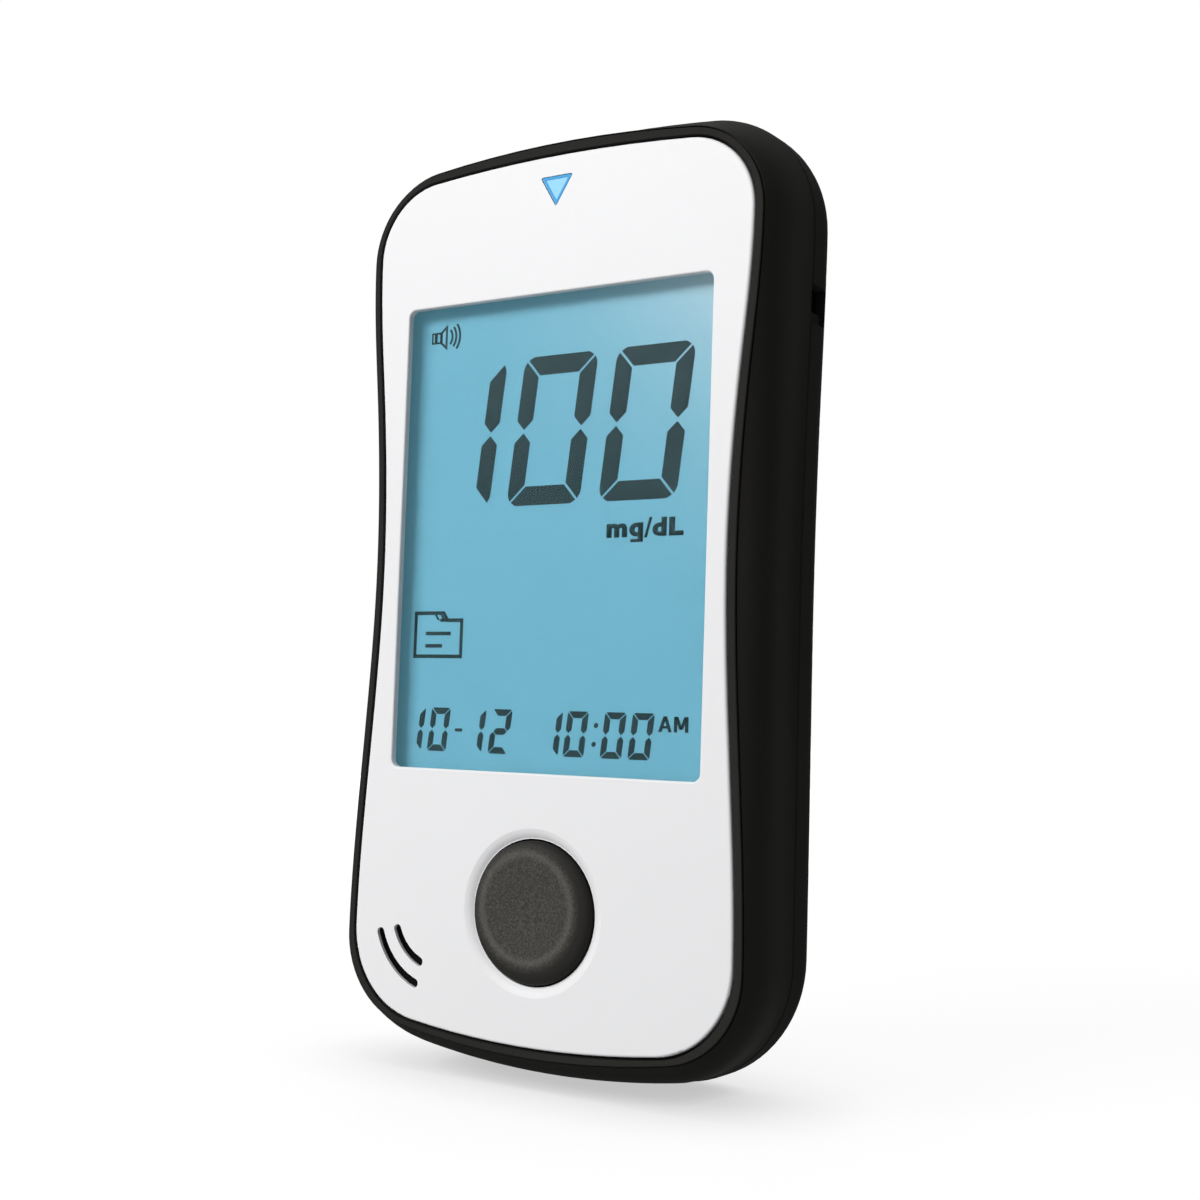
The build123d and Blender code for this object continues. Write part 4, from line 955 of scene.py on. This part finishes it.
class METER_OT_unit_letters(bpy.types.Operator):
    """Unit of the reading and the half of the day, in generic bold lettering"""

    bl_idname = "meter.unit_letters"
    bl_label = "Unit"

    def execute(self, context):
        self.make_unit()
        self.make_half_day()
        return {"FINISHED"}

    def make_unit(self):
        """Lettering of the unit, with its hook."""
        letters = []
        for character, x, z, width, height, weight, steps in UNIT_LETTERS:
            letter = lettering("unit_letter", character, width * MM, height * MM, weight, steps)
            shift(letter, x * MM, 0.0, z * MM)
            letters.append(letter)
        hook = flat_piece("hook", 1.35 * MM, 0.34 * MM)
        shift(hook, 3.7 * MM, 0.0, -0.39 * MM)
        unit = join(letters + [hook], "unit_letters")
        set_mark(unit, 6.6 * MM, -0.8 * MM, segment_finish())

    def make_half_day(self):
        """The two letters beside the time, an A and an M, built of bars."""
        tall, weight = 1.62 * MM, 0.4 * MM
        first, second = 0.2 * MM, 2.08 * MM      # feet of the two letters
        lines = [
            (first, 0.0, first + 0.6 * MM, tall),
            (first + 1.24 * MM, 0.0, first + 0.64 * MM, tall),
            (second, 0.0, second, tall),
            (second + 0.64 * MM, 0.3 * MM, second + 0.1 * MM, tall),
            (second + 0.68 * MM, 0.3 * MM, second + 1.22 * MM, tall),
            (second + 1.32 * MM, 0.0, second + 1.32 * MM, tall),
        ]
        letters = strokes("clock_letters", lines, weight)
        bar = flat_piece("cross_stroke", 0.9 * MM, 0.26 * MM)
        shift(bar, first + 0.62 * MM, 0.0, 0.5 * MM)
        letters = join([letters, bar], "clock_letters")
        set_mark(letters, 13.75 * MM, -21.2 * MM, segment_finish())


class METER_OT_sound_sign(bpy.types.Operator):
    """Small loudspeaker sign at the top left of the display"""

    bl_idname = "meter.sound_sign"
    bl_label = "Sound sign"

    def execute(self, context):
        line, neck = 0.27 * MM, 1.32 * MM    # width of the lines, and height where the horn begins
        box = flat_piece("sound_sign", 1.4 * MM, neck)
        edit(box)
        bpy.ops.mesh.bisect(plane_co=(-0.1 * MM, 0, 0), plane_no=(1, 0, 0))
        open_up(0.75 * line, each=True)
        done()
        shift(box, -1.47 * MM)
        horn = flat_piece("horn", 1.0 * MM, neck)
        edit(horn)
        pick(horn, "EDGE", lambda p: p.x > 0.4 * MM)
        bpy.ops.transform.resize(value=(1, 1, 2.27))
        open_up(line)
        done()
        shift(horn, -0.4 * MM)
        spread = math.radians(34)            # a wave reaches so far to each side of level
        waves = []
        for radius in (1.25 * MM, 1.8 * MM, 2.35 * MM):
            wave = flat_piece("wave", line, line)
            shift(wave, radius)
            edit(wave)
            pick(wave, "EDGE", lambda p: p.z > 0.3 * line)
            bpy.ops.mesh.spin(steps=20, angle=2 * spread, center=(0, 0, 0), axis=(0, 1, 0))
            bpy.ops.mesh.select_all(action="SELECT")
            bpy.ops.mesh.remove_doubles(threshold=line / 100)
            done()
            wave.data.transform(Matrix.Rotation(spread, 4, "Y"))
            shift(wave, -0.45 * MM)
            waves.append(wave)
        sign = join([box, horn] + waves, "sound_sign")
        set_mark(sign, -16.1 * MM, 23.1 * MM, segment_finish())
        return {"FINISHED"}


class METER_OT_memory_sign(bpy.types.Operator):
    """Folder sign for stored readings, with two plain lines in it"""

    bl_idname = "meter.memory_sign"
    bl_label = "Memory sign"

    def execute(self, context):
        line = 0.42 * MM
        width, height = 7.0 * MM, 4.5 * MM
        tab_end, tab_height, tab_slant = -width / 2 + 4.9 * MM, 0.82 * MM, 0.6 * MM
        sign = flat_piece("memory_sign", width, height)
        edit(sign)
        bpy.ops.mesh.bisect(plane_co=(tab_end, 0, 0), plane_no=(1, 0, 0))
        pick(sign, "EDGE", lambda p: p.z > height / 2 - line and p.x < tab_end - line)
        bpy.ops.mesh.extrude_region_move(TRANSFORM_OT_translate={"value": (0, 0, tab_height)})
        pick(sign, "VERT", lambda p: p.z > height / 2 + line and p.x > 0)
        bpy.ops.transform.translate(value=(-tab_slant, 0, 0))
        open_up(line)
        done()
        lines = []
        longest, shorter = 3.6 * MM, 2.4 * MM
        for level, length in ((0.55 * MM, longest), (-0.85 * MM, shorter)):
            bar = flat_piece("line", length, line)
            shift(bar, (length - longest) / 2, 0.0, level)
            lines.append(bar)
        front_start, edge_z = tab_end - 1.2 * MM, height / 2 - 0.2 * MM
        front = flat_piece("front_edge", width / 2 - front_start, 0.36 * MM)
        shift(front, (width / 2 + front_start) / 2, 0.0, edge_z)
        fold_top, fold_run = height / 2 + 0.6 * MM, 0.55 * MM
        folds = [
            (tab_end - start, fold_top, tab_end - start + fold_run, edge_z)
            for start in (1.95 * MM, 1.15 * MM)
        ]
        sign = join([sign, front, strokes("folds", folds, 0.3 * MM)] + lines, "memory_sign")
        set_mark(sign, -15.67 * MM, -11.5 * MM, segment_finish())
        return {"FINISHED"}


class METER_OT_marker_rim(bpy.types.Operator):
    """Deep blue rim round the marker window, a painted shade line along its edge"""

    bl_idname = "meter.marker_rim"
    bl_label = "Marker rim"

    def execute(self, context):
        low, high = (Vector(corner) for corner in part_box("indicator_window"))
        width, height = high.x - low.x, high.z - low.z
        rim = flat_round("marker_rim", 3, 1.0)
        first_low, first_high = extent(rim)
        upside_down = -height / (first_high.z - first_low.z)
        rim.data.transform(Matrix.Diagonal((width / 2 / first_high.x, 1.0, upside_down, 1.0)))
        # the inner edge is the outer one, drawn in towards the centre of the circle that fits inside
        in_radius = width * height / (width + 2 * math.hypot(width / 2, height))
        in_centre = (0, 0, extent(rim)[1].z - in_radius)
        inner = 1 - RIM_WIDTH / in_radius
        edit(rim)
        take_all("VERT")
        bpy.ops.mesh.bevel(affect="VERTICES", offset=0.12 * MM, segments=4)
        take_all("VERT")
        bpy.ops.mesh.delete(type="ONLY_FACE")
        take_all("VERT")
        bpy.ops.mesh.duplicate()
        bpy.ops.transform.resize(value=(inner, 1, inner), center_override=in_centre)
        take_all("EDGE")
        bpy.ops.mesh.bridge_edge_loops()
        done()
        thicken(rim, RIM_HEIGHT + SUNK)
        shift(rim, (low.x + high.x) / 2, low.y + SUNK, high.z - extent(rim)[1].z)
        # the rim is a painted shade line along the window's edge
        finish = moulded(
            "marker_shade_line_blue", (0.045, 0.36, 0.74), grain_size=0.3 * MM,
            roughness=0.35, depth=0.002 * MM, spread=0.05, Specular_IOR_Level=0.1,
        )
        dress(rim, finish.material)
        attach(rim, CASE)
        return {"FINISHED"}


# ---- operators: stage
def aim(obj, place, target):
    """Puts an object at a place, looking at a target."""
    obj.location = place
    obj.rotation_euler = (Vector(target) - Vector(place)).to_track_quat("-Z", "Y").to_euler()


def seen_directly(tree):
    """One for rays that the camera sees a surface by, straight, mirrored or through glass."""
    rays = add_node(tree, "ShaderNodeLightPath")
    mirrored = maths(tree, "MAXIMUM", rays.outputs["Is Glossy Ray"], rays.outputs["Is Transmission Ray"])
    before_diffuse = maths(tree, "LESS_THAN", rays.outputs["Diffuse Depth"], 0.5)
    mirrored = maths(tree, "MULTIPLY", mirrored, before_diffuse)
    return maths(tree, "MAXIMUM", rays.outputs["Is Camera Ray"], mirrored)


class METER_OT_stage(bpy.types.Operator):
    """Camera, floor, sky and lamps"""

    bl_idname = "meter.stage"
    bl_label = "Stage"

    def execute(self, context):
        scene = context.scene
        stage = scene.meter_stage
        self.make_camera(scene, stage)
        self.make_floor()
        self.make_sky(scene, stage)
        half_way_up = (0.0, 0.0, 0.055)
        for name, place, size, power in (
            ("front_lamp", (-0.338, -0.758, 0.496), (0.60, 0.32), stage.front_power),
            ("top_lamp", (0.05, -0.05, 0.60), (0.35, 0.35), stage.top_power),
            ("back_lamp", (-0.55, 0.75, 0.18), (0.50, 0.35), stage.back_power),
        ):
            bpy.ops.object.light_add(type="AREA", location=place)
            lamp = context.object
            lamp.name = name
            lamp.data.shape = "RECTANGLE"
            lamp.data.size, lamp.data.size_y = size
            lamp.data.energy = power
            aim(lamp, place, half_way_up)
        scene.view_settings.view_transform = "Standard"
        return {"FINISHED"}

    def make_camera(self, scene, stage):
        """Camera that looks up at the meter from in front and from its right, slightly rolled."""
        azimuth, elevation, roll = (math.radians(v) for v in (stage.azimuth, stage.elevation, stage.roll))
        run = math.cos(elevation)
        forward = Vector((-math.sin(azimuth) * run, math.cos(azimuth) * run, -math.sin(elevation)))
        level = forward.cross(Vector((0, 0, 1))).normalized()
        above = level.cross(forward)
        right = level * math.cos(roll) + above * math.sin(roll)
        up = above * math.cos(roll) - level * math.sin(roll)
        camera = bpy.data.objects.new("camera", bpy.data.cameras.new("camera"))
        scene.collection.objects.link(camera)
        turned = Matrix((right, up, -forward)).transposed().to_4x4()
        camera.matrix_world = Matrix.Translation(Vector(stage.eye)) @ turned
        camera.data.lens = stage.lens
        camera.data.clip_start = 0.01
        scene.camera = camera

    def make_floor(self):
        """Pale floor that is lit for the camera, with a painted shadow close to the meter."""
        bpy.ops.object.select_all(action="DESELECT")
        bpy.ops.mesh.primitive_plane_add(size=8.0, location=(0, 0, -0.02 * MM))
        floor = bpy.context.object
        floor.name = "floor"
        finish = Finish("floor_white", (0.8, 0.8, 0.8, 1.0), 0.9, Specular_IOR_Level=0.0)
        tree = finish.tree
        seen = seen_directly(tree)
        finish.feed("Base Color", blend(tree, seen, (0.45, 0.45, 0.45, 1.0), (0.1, 0.1, 0.1, 1.0)))
        # brighter away from the meter, with a painted shadow in the corners that it makes with the floor
        lift = between(tree, vector_length(tree, finish.place), low=0.12, high=0.5, start=0.93, end=1.05)
        strength = maths(tree, "MULTIPLY", seen, lift)
        for distance, darkest in FLOOR_SHADES:
            corner = add_node(tree, "ShaderNodeAmbientOcclusion", {"Distance": distance}, samples=16)
            contact = ramp(tree, corner.outputs["AO"], (0.15, darkest), (0.95, 1.0))
            strength = maths(tree, "MULTIPLY", strength, contact)
        glow = add_node(tree, "ShaderNodeEmission", {"Strength": strength})
        both = add_node(tree, "ShaderNodeAddShader", {0: finish.shader.outputs[0], 1: glow.outputs[0]})
        tree.links.new(both.outputs[0], finish.output.inputs["Surface"])
        floor.data.materials.append(finish.material)

    def make_sky(self, scene, stage):
        """White sky for the camera, and a dim even light for everything else."""
        world = bpy.data.worlds.new("sky")
        scene.world = world
        world.use_nodes = True
        tree = world.node_tree
        tree.nodes.clear()
        level = between(tree, seen_directly(tree), 0.0, 1.0, stage.sky, 1.0)
        light = add_node(tree, "ShaderNodeBackground", {"Color": (1.0, 1.0, 1.0, 1.0), "Strength": level})
        add_node(tree, "ShaderNodeOutputWorld", {"Surface": light.outputs[0]})


PROPERTIES = (
    ("meter_colours", MeterColours),
    ("meter_display", MeterDisplay),
    ("meter_stage", MeterStage),
)
OPERATORS = (
    METER_OT_shared_effects,
    METER_OT_case_finish,
    METER_OT_plate_finish,
    METER_OT_key_finish,
    METER_OT_display_finish,
    METER_OT_board_finish,
    METER_OT_metal_finish,
    METER_OT_ejector_coil,
    METER_OT_speaker_finish,
    METER_OT_cell_finish,
    METER_OT_value_digits,
    METER_OT_clock_digits,
    METER_OT_unit_letters,
    METER_OT_sound_sign,
    METER_OT_memory_sign,
    METER_OT_marker_rim,
    METER_OT_stage,
)


class METER_PT_sidebar(bpy.types.Panel):
    """Lists the meter's settings and its building steps"""

    bl_idname = "METER_PT_sidebar"
    bl_label = "Blood glucose meter"
    bl_space_type = "VIEW_3D"
    bl_region_type = "UI"
    bl_category = "Meter"

    def draw(self, context):
        for name, group in PROPERTIES:
            box = self.layout.box()
            settings = getattr(context.scene, name)
            for key in group.__annotations__:
                box.prop(settings, key)
        for operator in OPERATORS:
            self.layout.operator(operator.bl_idname)


def register():
    for name, group in PROPERTIES:
        bpy.utils.register_class(group)
        setattr(bpy.types.Scene, name, PointerProperty(type=group))
    for operator in OPERATORS:
        bpy.utils.register_class(operator)
    bpy.utils.register_class(METER_PT_sidebar)


def unregister():
    bpy.utils.unregister_class(METER_PT_sidebar)
    for operator in reversed(OPERATORS):
        bpy.utils.unregister_class(operator)
    for name, group in reversed(PROPERTIES):
        delattr(bpy.types.Scene, name)
        bpy.utils.unregister_class(group)


def main():
    """Registers the add-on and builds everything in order."""
    register()
    for operator in OPERATORS:
        group, name = operator.bl_idname.split(".")
        getattr(getattr(bpy.ops, group), name)()


if __name__ == "__main__":
    main()
